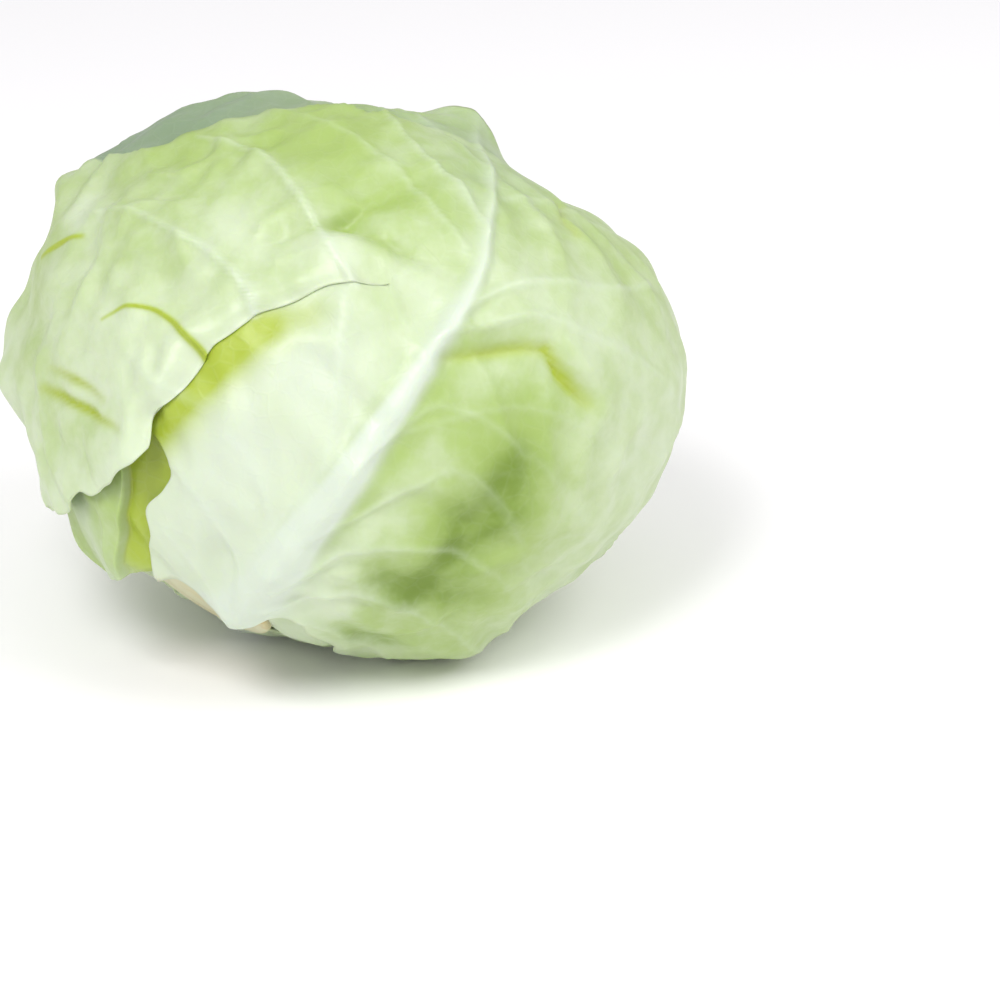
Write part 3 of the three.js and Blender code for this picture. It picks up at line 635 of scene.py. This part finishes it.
def add_patch(bm, columns, rows, place, fine_lines=()):
    """A grid whose points are put by place(u, v), with u and v from 0 to 1, and finer along some lines."""
    first_vert, first_face = len(bm.verts), len(bm.faces)
    bmesh.ops.create_grid(bm, x_segments=columns, y_segments=rows, size=1.0)
    bm.faces.ensure_lookup_table()
    if fine_lines:
        refine(bm, bm.faces[first_face:], place, fine_lines)
    bm.verts.ensure_lookup_table()
    made = bm.verts[first_vert:]
    uv = np.array([(vert.co.x, vert.co.y) for vert in made]) / 2 + 0.5
    steps = np.array((columns, rows)) * (FINE_CUTS + 1)
    uv = np.round(uv * steps) / steps
    points = place(uv[:, 0], uv[:, 1])
    inward = bm.verts.layers.float_vector["inward"]
    marks = {name: bm.verts.layers.float[name] for name in MARKS}
    for i, vert in enumerate(made):
        vert.co = points["outer"][i]
        vert[inward] = points["inward"][i]
        for name, layer in marks.items():
            vert[layer] = points[name][i]


def marked_bmesh():
    bm = bmesh.new()
    bm.verts.layers.float_vector.new("inward")
    for name in MARKS:
        bm.verts.layers.float.new(name)
    return bm


def leaf_points(lon, colat, fold, relief, tints, sizes):
    """Outer points of a leaf, the way to its inner face, and what its colours follow."""
    directions = way(lon, colat)
    ribs, veins, twigs = relief
    thickness = sizes.leaf_thickness / MM
    radius = envelope(directions) + fold(directions) + pucker(directions, sizes.pucker / MM)
    standing = heights(ribs, directions) + heights(veins, directions) + heights(twigs, directions)
    outer = directions * (radius + standing)[:, None] + CENTRE
    inner = directions * (radius - thickness)[:, None] + CENTRE
    outer[:, 2] = np.maximum(outer[:, 2], 0)
    resting = outer[:, 2] <= 0
    inner[:, 2] = np.where(resting, np.maximum(inner[:, 2], thickness), inner[:, 2])
    pale = np.maximum.reduce([
        np.clip(heights(ribs, directions) / PALE_RIB[0], 0, PALE_RIB[1]) ** 1.3,
        np.clip(heights(veins, directions) / PALE_VEIN[0], 0, PALE_VEIN[1]),
        np.clip(heights(twigs, directions) / PALE_TWIG[0], 0, PALE_TWIG[1]),
    ])
    points = {name: np.zeros(len(directions)) for name in MARKS}
    points.update(outer=outer * MM, inward=(inner - outer) * MM, rib=pale)
    for name, mark in tints(directions, colat).items():
        points[name] = np.clip(points[name] + mark, 0, 1)
    return points


def close_leaf(bm, sizes):
    """Gives the welded sheet its thickness, thinner at the free edges, and turns its faces out."""
    bmesh.ops.remove_doubles(bm, verts=bm.verts[:], dist=2e-6)
    inward = bm.verts.layers.float_vector["inward"]
    for vert in bm.verts:
        if vert.is_boundary:
            vert[inward] = vert[inward] * (sizes.edge_thickness / sizes.leaf_thickness)
    made = bmesh.ops.extrude_face_region(bm, geom=bm.faces[:])["geom"]
    for item in made:
        if isinstance(item, bmesh.types.BMVert):
            item.co += Vector(item[inward])
    bmesh.ops.recalc_face_normals(bm, faces=bm.faces[:])


def finish_piece(bm, name, material, node):
    mesh = bpy.data.meshes.new(name)
    bm.to_mesh(mesh)
    bm.free()
    if "inward" in mesh.attributes:
        mesh.attributes.remove(mesh.attributes["inward"])
    mesh.materials.append(material)
    mesh.shade_smooth()
    piece = bpy.data.objects.new(name, mesh)
    bpy.context.scene.collection.objects.link(piece)
    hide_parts(node)
    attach(piece, "root")
    return piece


# Materials


class Nodes:
    """Short hands for a material's node tree."""

    def __init__(self, name):
        self.material = bpy.data.materials.new(name)
        self.material.use_nodes = True
        self.tree = self.material.node_tree
        self.shader = self.tree.nodes["Principled BSDF"]

    def add(self, kind, **values):
        node = self.tree.nodes.new(kind)
        for key, value in values.items():
            if key.startswith("in_"):
                node.inputs[key[3:].replace("_", " ")].default_value = value
            else:
                setattr(node, key, value)
        return node

    def shade(self, **values):
        for key, value in values.items():
            self.shader.inputs[key.replace("_", " ")].default_value = value

    def link(self, start, end):
        self.tree.links.new(start, end)

    def attribute(self, name):
        return self.add("ShaderNodeAttribute", attribute_name=name).outputs["Fac"]

    def noise(self, coord, scale, detail=3.0):
        node = self.add("ShaderNodeTexNoise", in_Scale=scale, in_Detail=detail, in_Roughness=0.55)
        self.link(coord, node.inputs["Vector"])
        return node.outputs["Fac"]

    def span(self, value, low, high, to_low=0.0, to_high=1.0):
        node = self.add("ShaderNodeMapRange", clamp=True, interpolation_type="SMOOTHSTEP")
        for key, number in (("From Min", low), ("From Max", high), ("To Min", to_low), ("To Max", to_high)):
            node.inputs[key].default_value = number
        self.link(value, node.inputs["Value"])
        return node.outputs["Result"]

    def calc(self, operation, first, second):
        node = self.add("ShaderNodeMath", operation=operation)
        for socket, value in zip(node.inputs, (first, second)):
            if isinstance(value, (int, float)):
                socket.default_value = value
            else:
                self.link(value, socket)
        return node.outputs["Value"]

    def mix(self, share, first, second):
        node = self.add("ShaderNodeMix", data_type="RGBA")
        self.link(share, node.inputs[0])
        for socket, value in ((node.inputs[6], first), (node.inputs[7], second)):
            if isinstance(value, tuple):
                socket.default_value = value
            else:
                self.link(value, socket)
        return node.outputs[2]

    def bump(self, height, strength, distance):
        node = self.add("ShaderNodeBump", in_Strength=strength, in_Distance=distance)
        self.link(height, node.inputs["Height"])
        return node.outputs["Normal"]


def colour(values):
    return (values[0], values[1], values[2], 1.0)


def leaf_material(name, paints):
    """Fresh waxy leaf: green between white ribs, with a faint net of veins, painted shade in folds, slits
    and pockets, and wax bloom with painted shade on the top.
    """
    n = Nodes(name)
    coord = n.add("ShaderNodeTexCoord").outputs["Object"]
    rib, green, deep, dark, bloom, cut = (n.attribute(key) for key in MARKS)
    mottle = n.noise(coord, 90.0, 3.0)
    cells = n.add("ShaderNodeTexVoronoi", feature="DISTANCE_TO_EDGE", in_Scale=190.0, in_Randomness=0.9)
    n.link(coord, cells.inputs["Vector"])
    net = n.span(cells.outputs["Distance"], 0.0, 0.12, 1.0, 0.0)
    greenness = n.calc("ADD", green, n.span(mottle, 0.3, 0.7, -0.12, 0.12))
    blade = n.mix(n.span(greenness, 0.0, 1.0), colour(paints.blade_pale), colour(paints.blade_green))
    # Wax bloom and painted shade on the top band
    blade = n.mix(n.calc("MULTIPLY", bloom, 0.85), blade, colour(paints.bloom))
    # Painted shade: deep green in slits, creases, pockets and under the torn lip
    blade = n.mix(deep, blade, colour(paints.deep))
    # Painted shade in the wing's folds, made uneven by the mottle
    uneven = n.calc("MULTIPLY", dark, n.span(mottle, 0.3, 0.7, 0.7, 1.2))
    blade = n.mix(n.span(uneven, 0.0, 1.1), blade, colour(paints.dark))
    blade = n.mix(n.calc("MULTIPLY", net, 0.03), blade, colour(paints.rib))
    painted = n.mix(rib, blade, colour(paints.rib))
    painted = n.mix(cut, painted, colour(paints.cut))
    n.link(painted, n.shader.inputs["Base Color"])
    relief = n.calc("ADD", n.calc("MULTIPLY", net, 0.12), n.calc("MULTIPLY", mottle, 1.6))
    n.link(n.bump(relief, 0.35, 0.0006), n.shader.inputs["Normal"])
    n.link(n.span(mottle, 0.3, 0.7, 0.40, 0.52), n.shader.inputs["Roughness"])
    n.shade(Subsurface_Weight=0.25, Subsurface_Radius=(0.7, 1.0, 0.25), Subsurface_Scale=0.004)
    n.shade(Specular_IOR_Level=0.5)
    return n.material


def stem_material(paints):
    """Cut stem: pale fibres with a ring under the rind, browned where it has dried at the rim."""
    n = Nodes("cut_stem_flesh")
    coord = n.add("ShaderNodeTexCoord").outputs["Object"]
    rim = n.attribute("rim")
    fibres = n.noise(coord, 420.0, 5.0)
    patches = n.noise(coord, 110.0)
    ring = n.calc("MULTIPLY", n.span(rim, 0.62, 0.72), n.span(rim, 0.86, 0.74))
    flesh = n.mix(n.span(patches, 0.4, 0.75), colour(paints.flesh), colour(paints.flesh_dry))
    flesh = n.mix(n.calc("MULTIPLY", ring, 0.4), flesh, colour(paints.flesh_ring))
    browned = n.calc("MULTIPLY", n.span(rim, 0.84, 0.97), n.span(patches, 0.52, 0.68))
    flesh = n.mix(n.calc("MULTIPLY", browned, 0.8), flesh, colour(paints.rind))
    n.link(flesh, n.shader.inputs["Base Color"])
    n.link(n.bump(fibres, 0.5, 0.0006), n.shader.inputs["Normal"])
    n.shade(Subsurface_Weight=0.2, Subsurface_Radius=(0.8, 0.8, 0.4), Subsurface_Scale=0.003)
    n.shade(Roughness=0.68)
    return n.material


# What a user would change


def paint(name, text, value):
    return FloatVectorProperty(
        name=name, description=text, subtype="COLOR", size=3, default=value, min=0, max=1,
    )


def length(name, text, value):
    return FloatProperty(name=name, description=text, unit="LENGTH", default=value, min=0, precision=5)


class CABBAGE_PG_sizes(bpy.types.PropertyGroup):
    leaf_thickness: length("Leaf thickness", "Of a leaf away from its edges", 0.0012)
    edge_thickness: length("Edge thickness", "Of a leaf at its free edges", 0.0005)
    pucker: length("Quilting", "Height of the soft quilting between the veins", 0.0009)
    stem_radius: length("Stem radius", "Of the stem at its cut", 0.0214)
    stem_cut: length("Stem cut", "From the head's centre to the cut of the stem", 0.0776)


class CABBAGE_PG_paints(bpy.types.PropertyGroup):
    blade_pale: paint("Pale blade", "Leaf near the ribs and the base", (0.55, 0.64, 0.44))
    blade_green: paint("Green blade", "Leaf far from the ribs", (0.33, 0.45, 0.125))
    # Painted shade in slits, creases, pockets and under the torn lip
    deep: paint("Deep green", "Leaf deep in a fold", (0.34, 0.43, 0.035))
    # Painted shade in the folds of the wing
    dark: paint("Dark green", "Leaf in the folds of the wing", (0.15, 0.24, 0.015))
    cut: paint("Cut base", "Dried edge where the leaf was cut", (0.58, 0.46, 0.29))
    # Wax bloom and painted shade on the top band
    bloom: paint("Bloom", "Greyish wax on the outer leaf", (0.185, 0.26, 0.175))
    # Also the colour of the painted sheen on the strip
    rib: paint("Ribs", "Ribs and veins", (0.58, 0.65, 0.54))
    flesh: paint("Stem flesh", "Fresh cut stem", (0.66, 0.65, 0.44))
    flesh_dry: paint("Dry stem flesh", "Stem where the cut has dried", (0.63, 0.59, 0.36))
    flesh_ring: paint("Stem ring", "Ring of vessels under the rind", (0.57, 0.53, 0.31))
    rind: paint("Stem rind", "Browned rim of the cut", (0.60, 0.47, 0.22))


class CABBAGE_PG_stage(bpy.types.PropertyGroup):
    elevation: FloatProperty(
        name="Camera elevation", description="How far the camera looks down",
        default=25 * DEGREE, subtype="ANGLE",
    )
    distance: length("Camera distance", "From the camera to the head", 1.1)
    frame_width: length("Frame width", "Width of the picture at the head", 0.294)
    floor: paint("Floor", "Colour of the floor", (0.985, 0.972, 0.99))
    key: FloatProperty(name="Key light", description="Power of the main light", unit="POWER", default=10.5)
    fill: FloatProperty(name="Fill light", description="Power of the other light", unit="POWER", default=7)
    sky: FloatProperty(name="Sky", description="Strength of the light from all round", default=0.66, min=0)


class CABBAGE_OT_torn_leaf(bpy.types.Operator):
    """Makes the torn outermost leaf with its midrib, veins, lip and folds"""

    bl_idname = "cabbage.torn_leaf"
    bl_label = "Torn leaf"

    def execute(self, context):
        sizes = context.scene.cabbage_sizes
        veins, ridges = veins_and_ridges(TORN_LEAF_VEINS)
        relief = (TORN_LEAF_RIBS, veins, branches(veins, 11, 13, 5))
        folds = TORN_LEAF_FOLDS + FINE_CREASES + SLITS + tuple(ridges)

        def place(sides, more_folds, crowding=1.0, ruffle=None, more_shade=()):
            def fold(directions):
                return heights(folds + more_folds, directions) + spots(directions, TORN_LEAF_LUMPS)

            def tints(directions, colat):
                # Painted shade under the lip, in the slits, creases and pockets
                deep = spots(directions, more_shade) + heights(SLIT_SHADES + CREASE_SHADES, directions)
                return {
                    # the leaf's green, with painted shade along the creases and the midrib's sides
                    "green": BASE_GREEN + GREEN_RISE * smoothstep(GREEN_FROM, GREEN_TO, colat)
                    + spots(directions, GREENER) + heights(GREEN_SHADE_LINES, directions),
                    "deep": deep,
                    # painted shade in the wing's folds
                    "dark": heights(WING_SHADES, directions),
                    # wax bloom and painted shade on the top band
                    "bloom": spots(directions, BLOOM_AND_SHADE_SPOTS) + BLOOM_AND_SHADE_EDGE.height(directions),
                    "cut": spots(directions, CUT_BASE),
                    # the strip's painted sheen in the rib colour, kept off the painted shade
                    "rib": spots(directions, STRIP_SHEEN) * np.clip(1 - deep, 0, 1),
                }

            def put(u, v):
                lon, colat = coons(sides, u**crowding, v)
                if ruffle:
                    lon_shift, colat_shift = ruffle(u, v)
                    lon, colat = lon + lon_shift, colat + colat_shift
                return leaf_points(lon, colat, fold, relief, tints, sizes)

            return put

        def lip_ruffle(u, v):
            """Scallops along the torn lip and its foot, none at the tip of the tear."""
            lip = np.exp(-(1 - u) / RUFFLE_REACH) * smoothstep(lip_share, lip_share * 0.8, v)
            foot = np.exp(-v / RUFFLE_REACH) * smoothstep(0, 0.1, u)
            waves = LIP_WAVE * np.sin(LIP_WAVES * v)
            hem = HEM_WAVE * np.sin(HEM_WAVES * u + 1)
            return lip * waves, foot * hem * smoothstep(1, 0.92, u)

        rows = ROWS_BELOW_TIP + ROWS_ABOVE_TIP
        tip_share = ROWS_BELOW_TIP / rows
        lip_share = LIP_ROWS / (LIP_ROWS + ROWS_ABOVE_TIP)
        tear = joined(TORN_EDGE, ABOVE_TEAR, tip_share)
        strip = (curve(STRIP_BASE), curve(MIDRIB), curve(STRIP_TOP), tear)
        wing = (curve(WING_BASE), curve(WING_EDGE), curve(WING_TOP), curve(MIDRIB))
        flap = (
            lambda t: along(LIP_FOOT, 1 - t),
            joined(LIP[::-1], ABOVE_TEAR, lip_share),
            curve(FLAP_TOP),
            curve(FLAP_EDGE),
        )
        bm = marked_bmesh()
        add_patch(bm, STRIP_COLUMNS, rows, place(strip, STRIP_DIP, more_shade=STRIP_SHADE))
        add_patch(bm, WING_COLUMNS, rows, place(wing, STRIP_DIP, crowding=WING_CROWDING))
        flap_place = place(flap, FLAP_CURL, ruffle=lip_ruffle)
        add_patch(bm, FLAP_COLUMNS, LIP_ROWS + ROWS_ABOVE_TIP, flap_place, SLIT_SHADES)
        close_leaf(bm, sizes)
        material = leaf_material("outer_leaf_blade", context.scene.cabbage_paints)
        finish_piece(bm, "torn_leaf", material, "leaf_1")
        return {"FINISHED"}


class CABBAGE_OT_wrapper_leaves(bpy.types.Operator):
    """Makes the four wrapper leaves behind the torn one"""

    bl_idname = "cabbage.wrapper_leaves"
    bl_label = "Wrapper leaves"

    def execute(self, context):
        for leaf in WRAPPERS:
            self.make(context, leaf)
        return {"FINISHED"}

    def make(self, context, leaf):
        sizes = context.scene.cabbage_sizes
        rolls = ROLLS.get(leaf["name"], ())
        middle = [(leaf["lon"], colat) for colat in (BASE_COLAT, 50, 90, 130)]
        midrib = line(middle, leaf["rib"], (6, 4.5, 3))
        courses = []
        for start in VEIN_STARTS:
            for side in (-1, 1):
                course = [(leaf["lon"] + side * across, start + up) for across, up in VEIN_COURSE]
                courses.append((course, VEIN_RISE, VEIN_SPREAD, VEIN_RIDGE, (4, 6)))
        veins, ridges = veins_and_ridges(courses)
        relief = ((midrib,), veins, branches(veins, leaf["layer"], 12, 4))

        def fold(directions):
            colat = np.arccos(np.clip(directions @ BUTT, -1, 1)) / DEGREE
            sink = BASE_SHARE + (1 - BASE_SHARE) * smoothstep(20, 46, colat)
            folds = tuple(ridges) + WRAPPER_FOLDS[leaf["name"]] + rolls
            return heights(folds, directions) - leaf["layer"] * LAYER_STEP * sink

        def tints(directions, colat):
            in_pocket = 1 - smoothstep(0.02, 0.3, closeness(rolls, directions))
            return {
                "green": leaf["green"] + WRAPPER_GREEN_RISE * smoothstep(GREEN_FROM, 110, colat),
                # painted shade in the pockets, kept off the roll
                "deep": spots(directions, POCKET_SHADE) * in_pocket,
            }

        def put(u, v):
            u = 2 * u - 1
            wide = leaf["half_width"] - BASE_HALF_WIDTH
            widen = BASE_HALF_WIDTH + WIDER_BASE.get(leaf["name"], 0) * (1 - v)
            widen = widen - TOP_NARROWING * smoothstep(0.72, 1, v)
            widen = widen + wide * smoothstep(leaf["widen_from"], leaf["widen_from"] + 0.42, v)
            lon = leaf["lon"] + u * (widen + u**4 * EDGE_WAVE * np.sin(17 * v + leaf["wave"]))
            top = leaf["top"] - TOP_DROP * u**2 + TOP_WAVE * np.sin(7 * u + leaf["wave"])
            base = BASE_COLAT + BASE_DROP * u**2
            return leaf_points(lon, base + (top - base) * v, fold, relief, tints, sizes)

        bm = marked_bmesh()
        add_patch(bm, leaf["columns"], leaf["rows"], put, FINE_LINES.get(leaf["name"], ()))
        close_leaf(bm, sizes)
        material = leaf_material(leaf["name"] + "_blade", context.scene.cabbage_paints)
        finish_piece(bm, "wrapper_" + leaf["name"], material, leaf["name"])


class CABBAGE_OT_inner_head(bpy.types.Operator):
    """Makes the tight inner head with the margins of its last leaves over the crown"""

    bl_idname = "cabbage.inner_head"
    bl_label = "Inner head"

    def execute(self, context):
        bm = marked_bmesh()
        sphere = bmesh.ops.create_uvsphere(
            bm, u_segments=HEART_SEGMENTS, v_segments=HEART_RINGS, radius=1.0,
        )
        made = sphere["verts"]
        ball = np.array([vert.co for vert in made])
        colat = np.arccos(np.clip(ball[:, 2], -1, 1)) / DEGREE
        lon = np.arctan2(ball[:, 1], ball[:, 0]) / DEGREE
        directions = way(lon, colat)
        crown = CROWN_RISE * smoothstep(154, 163, colat) + CROWN_DOME * smoothstep(163, 172, colat)
        margins = np.zeros(len(made))
        for faces, reach in MARGINS:
            past = (180 - colat) * np.cos((lon - faces) * DEGREE) + reach
            margins += CROWN_STEP * smoothstep(-4, 4, past) * smoothstep(150, 160, colat)
        radius = envelope(directions) - HEART_LAYER * LAYER_STEP + crown - margins
        radius = radius + pucker(directions, HEART_PUCKER)
        points = directions * radius[:, None]
        over = np.maximum(points @ BUTT - HEART_FLAT, 0)
        points = (points - np.outer(over, BUTT) + CENTRE) * MM
        layers = bm.verts.layers.float
        # Painted shade of the pockets on the inner head
        shade = np.clip(spots(directions, POCKET_SHADE), 0, 1)
        for vert, point, deep in zip(made, points, shade):
            vert.co = point
            vert[layers["green"]] = HEART_GREEN
            vert[layers["deep"]] = deep
        bmesh.ops.recalc_face_normals(bm, faces=bm.faces[:])
        material = leaf_material("inner_head_leaf", context.scene.cabbage_paints)
        finish_piece(bm, "inner_head", material, "heart")
        return {"FINISHED"}


class CABBAGE_OT_cut_stem(bpy.types.Operator):
    """Makes the stump of the stem with its cut face"""

    bl_idname = "cabbage.cut_stem"
    bl_label = "Cut stem"

    def execute(self, context):
        sizes = context.scene.cabbage_sizes
        rim, cut = sizes.stem_radius / MM, sizes.stem_cut / MM
        profile = (
            (0.001, STEM_ROOT), (rim - 1.6, STEM_ROOT), (rim - 0.9, cut - 7), (rim - 0.1, cut - 3),
            (rim, cut - 1.6), (rim - 0.5, cut - 0.6), (rim - 1.6, cut - 0.2), (rim - 6, cut),
            (rim - 12, cut + 0.2), (0.001, cut + 0.4),
        )
        bm = bmesh.new()
        bm.verts.layers.float.new("rim")
        verts = [bm.verts.new((radius, 0, height)) for radius, height in profile]
        edges = [bm.edges.new(pair) for pair in zip(verts, verts[1:])]
        bmesh.ops.spin(
            bm, geom=verts + edges, cent=(0, 0, 0), axis=(0, 0, 1), angle=2 * math.pi, steps=96,
            use_merge=True,
        )
        bmesh.ops.remove_doubles(bm, verts=bm.verts[:], dist=0.01)
        nearness = bm.verts.layers.float["rim"]
        turn = Vector((0, 0, 1)).rotation_difference(Vector(BUTT)).to_matrix().to_4x4()
        for vert in bm.verts:
            vert[nearness] = math.hypot(vert.co.x, vert.co.y) / rim
        placed = Matrix.Scale(MM, 4) @ Matrix.Translation(Vector(CENTRE)) @ turn
        bmesh.ops.transform(bm, matrix=placed, verts=bm.verts[:])
        bmesh.ops.recalc_face_normals(bm, faces=bm.faces[:])
        finish_piece(bm, "cut_stem", stem_material(context.scene.cabbage_paints), "stem")
        return {"FINISHED"}


class CABBAGE_OT_stage(bpy.types.Operator):
    """Makes the floor, the lights and the camera"""

    bl_idname = "cabbage.stage"
    bl_label = "Stage"

    def execute(self, context):
        settings = context.scene.cabbage_stage
        self.floor(settings)
        self.light("key_light", (-0.35, -0.8, 1.1), 0.5, settings.key)
        self.light("fill_light", (0.85, -0.4, 1.1), 0.7, settings.fill)
        self.sky(context, settings)
        self.camera(context, settings)
        return {"FINISHED"}

    def floor(self, settings):
        bm = bmesh.new()
        bmesh.ops.create_grid(bm, x_segments=4, y_segments=4, size=8.0)
        mesh = bpy.data.meshes.new("floor")
        bm.to_mesh(mesh)
        bm.free()
        floor = bpy.data.objects.new("floor", mesh)
        bpy.context.scene.collection.objects.link(floor)
        n = Nodes("floor_paper")
        n.shade(Base_Color=colour(settings.floor), Roughness=0.9)
        mesh.materials.append(n.material)

    def light(self, name, place, size, power):
        lamp = bpy.data.lights.new(name, "AREA")
        lamp.energy = power
        lamp.size = size
        obj = bpy.data.objects.new(name, lamp)
        obj.location = place
        obj.rotation_euler = (Vector((0, 0, 0.07)) - Vector(place)).to_track_quat("-Z", "Y").to_euler()
        bpy.context.scene.collection.objects.link(obj)

    def sky(self, context, settings):
        world = bpy.data.worlds.new("studio")
        world.use_nodes = True
        background = world.node_tree.nodes["Background"]
        background.inputs["Color"].default_value = (1, 1, 1, 1)
        background.inputs["Strength"].default_value = settings.sky
        context.scene.world = world
        context.scene.view_settings.view_transform = "Standard"

    def camera(self, context, settings):
        """Puts the head's centre where the photograph has it, at pixel 344, 376 of 1000."""
        right_shift, up_shift = 0.156, 0.124
        up = Vector((0, math.sin(settings.elevation), math.cos(settings.elevation)))
        back = Vector((0, -math.cos(settings.elevation), math.sin(settings.elevation)))
        aim = Vector(CENTRE * MM)
        aim += Vector((right_shift * settings.frame_width, 0, 0)) - up * up_shift * settings.frame_width
        lens = bpy.data.cameras.new("camera")
        lens.sensor_width = 36
        lens.lens = 36 * settings.distance / settings.frame_width
        lens.clip_start = 0.01
        camera = bpy.data.objects.new("camera", lens)
        camera.location = aim + back * settings.distance
        camera.rotation_euler = (-back).to_track_quat("-Z", "Y").to_euler()
        context.scene.collection.objects.link(camera)
        context.scene.camera = camera


OPERATORS = (
    CABBAGE_OT_torn_leaf,
    CABBAGE_OT_wrapper_leaves,
    CABBAGE_OT_inner_head,
    CABBAGE_OT_cut_stem,
    CABBAGE_OT_stage,
)


class CABBAGE_PT_panel(bpy.types.Panel):
    bl_idname = "CABBAGE_PT_panel"
    bl_label = "Cabbage head"
    bl_space_type = "VIEW_3D"
    bl_region_type = "UI"
    bl_category = "Cabbage"

    def draw(self, context):
        for operator in OPERATORS:
            self.layout.operator(operator.bl_idname)


CLASSES = (CABBAGE_PG_sizes, CABBAGE_PG_paints, CABBAGE_PG_stage) + OPERATORS + (CABBAGE_PT_panel,)


def register():
    for cls in CLASSES:
        bpy.utils.register_class(cls)
    bpy.types.Scene.cabbage_sizes = PointerProperty(type=CABBAGE_PG_sizes)
    bpy.types.Scene.cabbage_paints = PointerProperty(type=CABBAGE_PG_paints)
    bpy.types.Scene.cabbage_stage = PointerProperty(type=CABBAGE_PG_stage)


def unregister():
    del bpy.types.Scene.cabbage_stage
    del bpy.types.Scene.cabbage_paints
    del bpy.types.Scene.cabbage_sizes
    for cls in reversed(CLASSES):
        bpy.utils.unregister_class(cls)


def main():
    register()
    bpy.ops.cabbage.stage()
    bpy.ops.cabbage.torn_leaf()
    bpy.ops.cabbage.wrapper_leaves()
    bpy.ops.cabbage.inner_head()
    bpy.ops.cabbage.cut_stem()


if __name__ == "__main__":
    main()
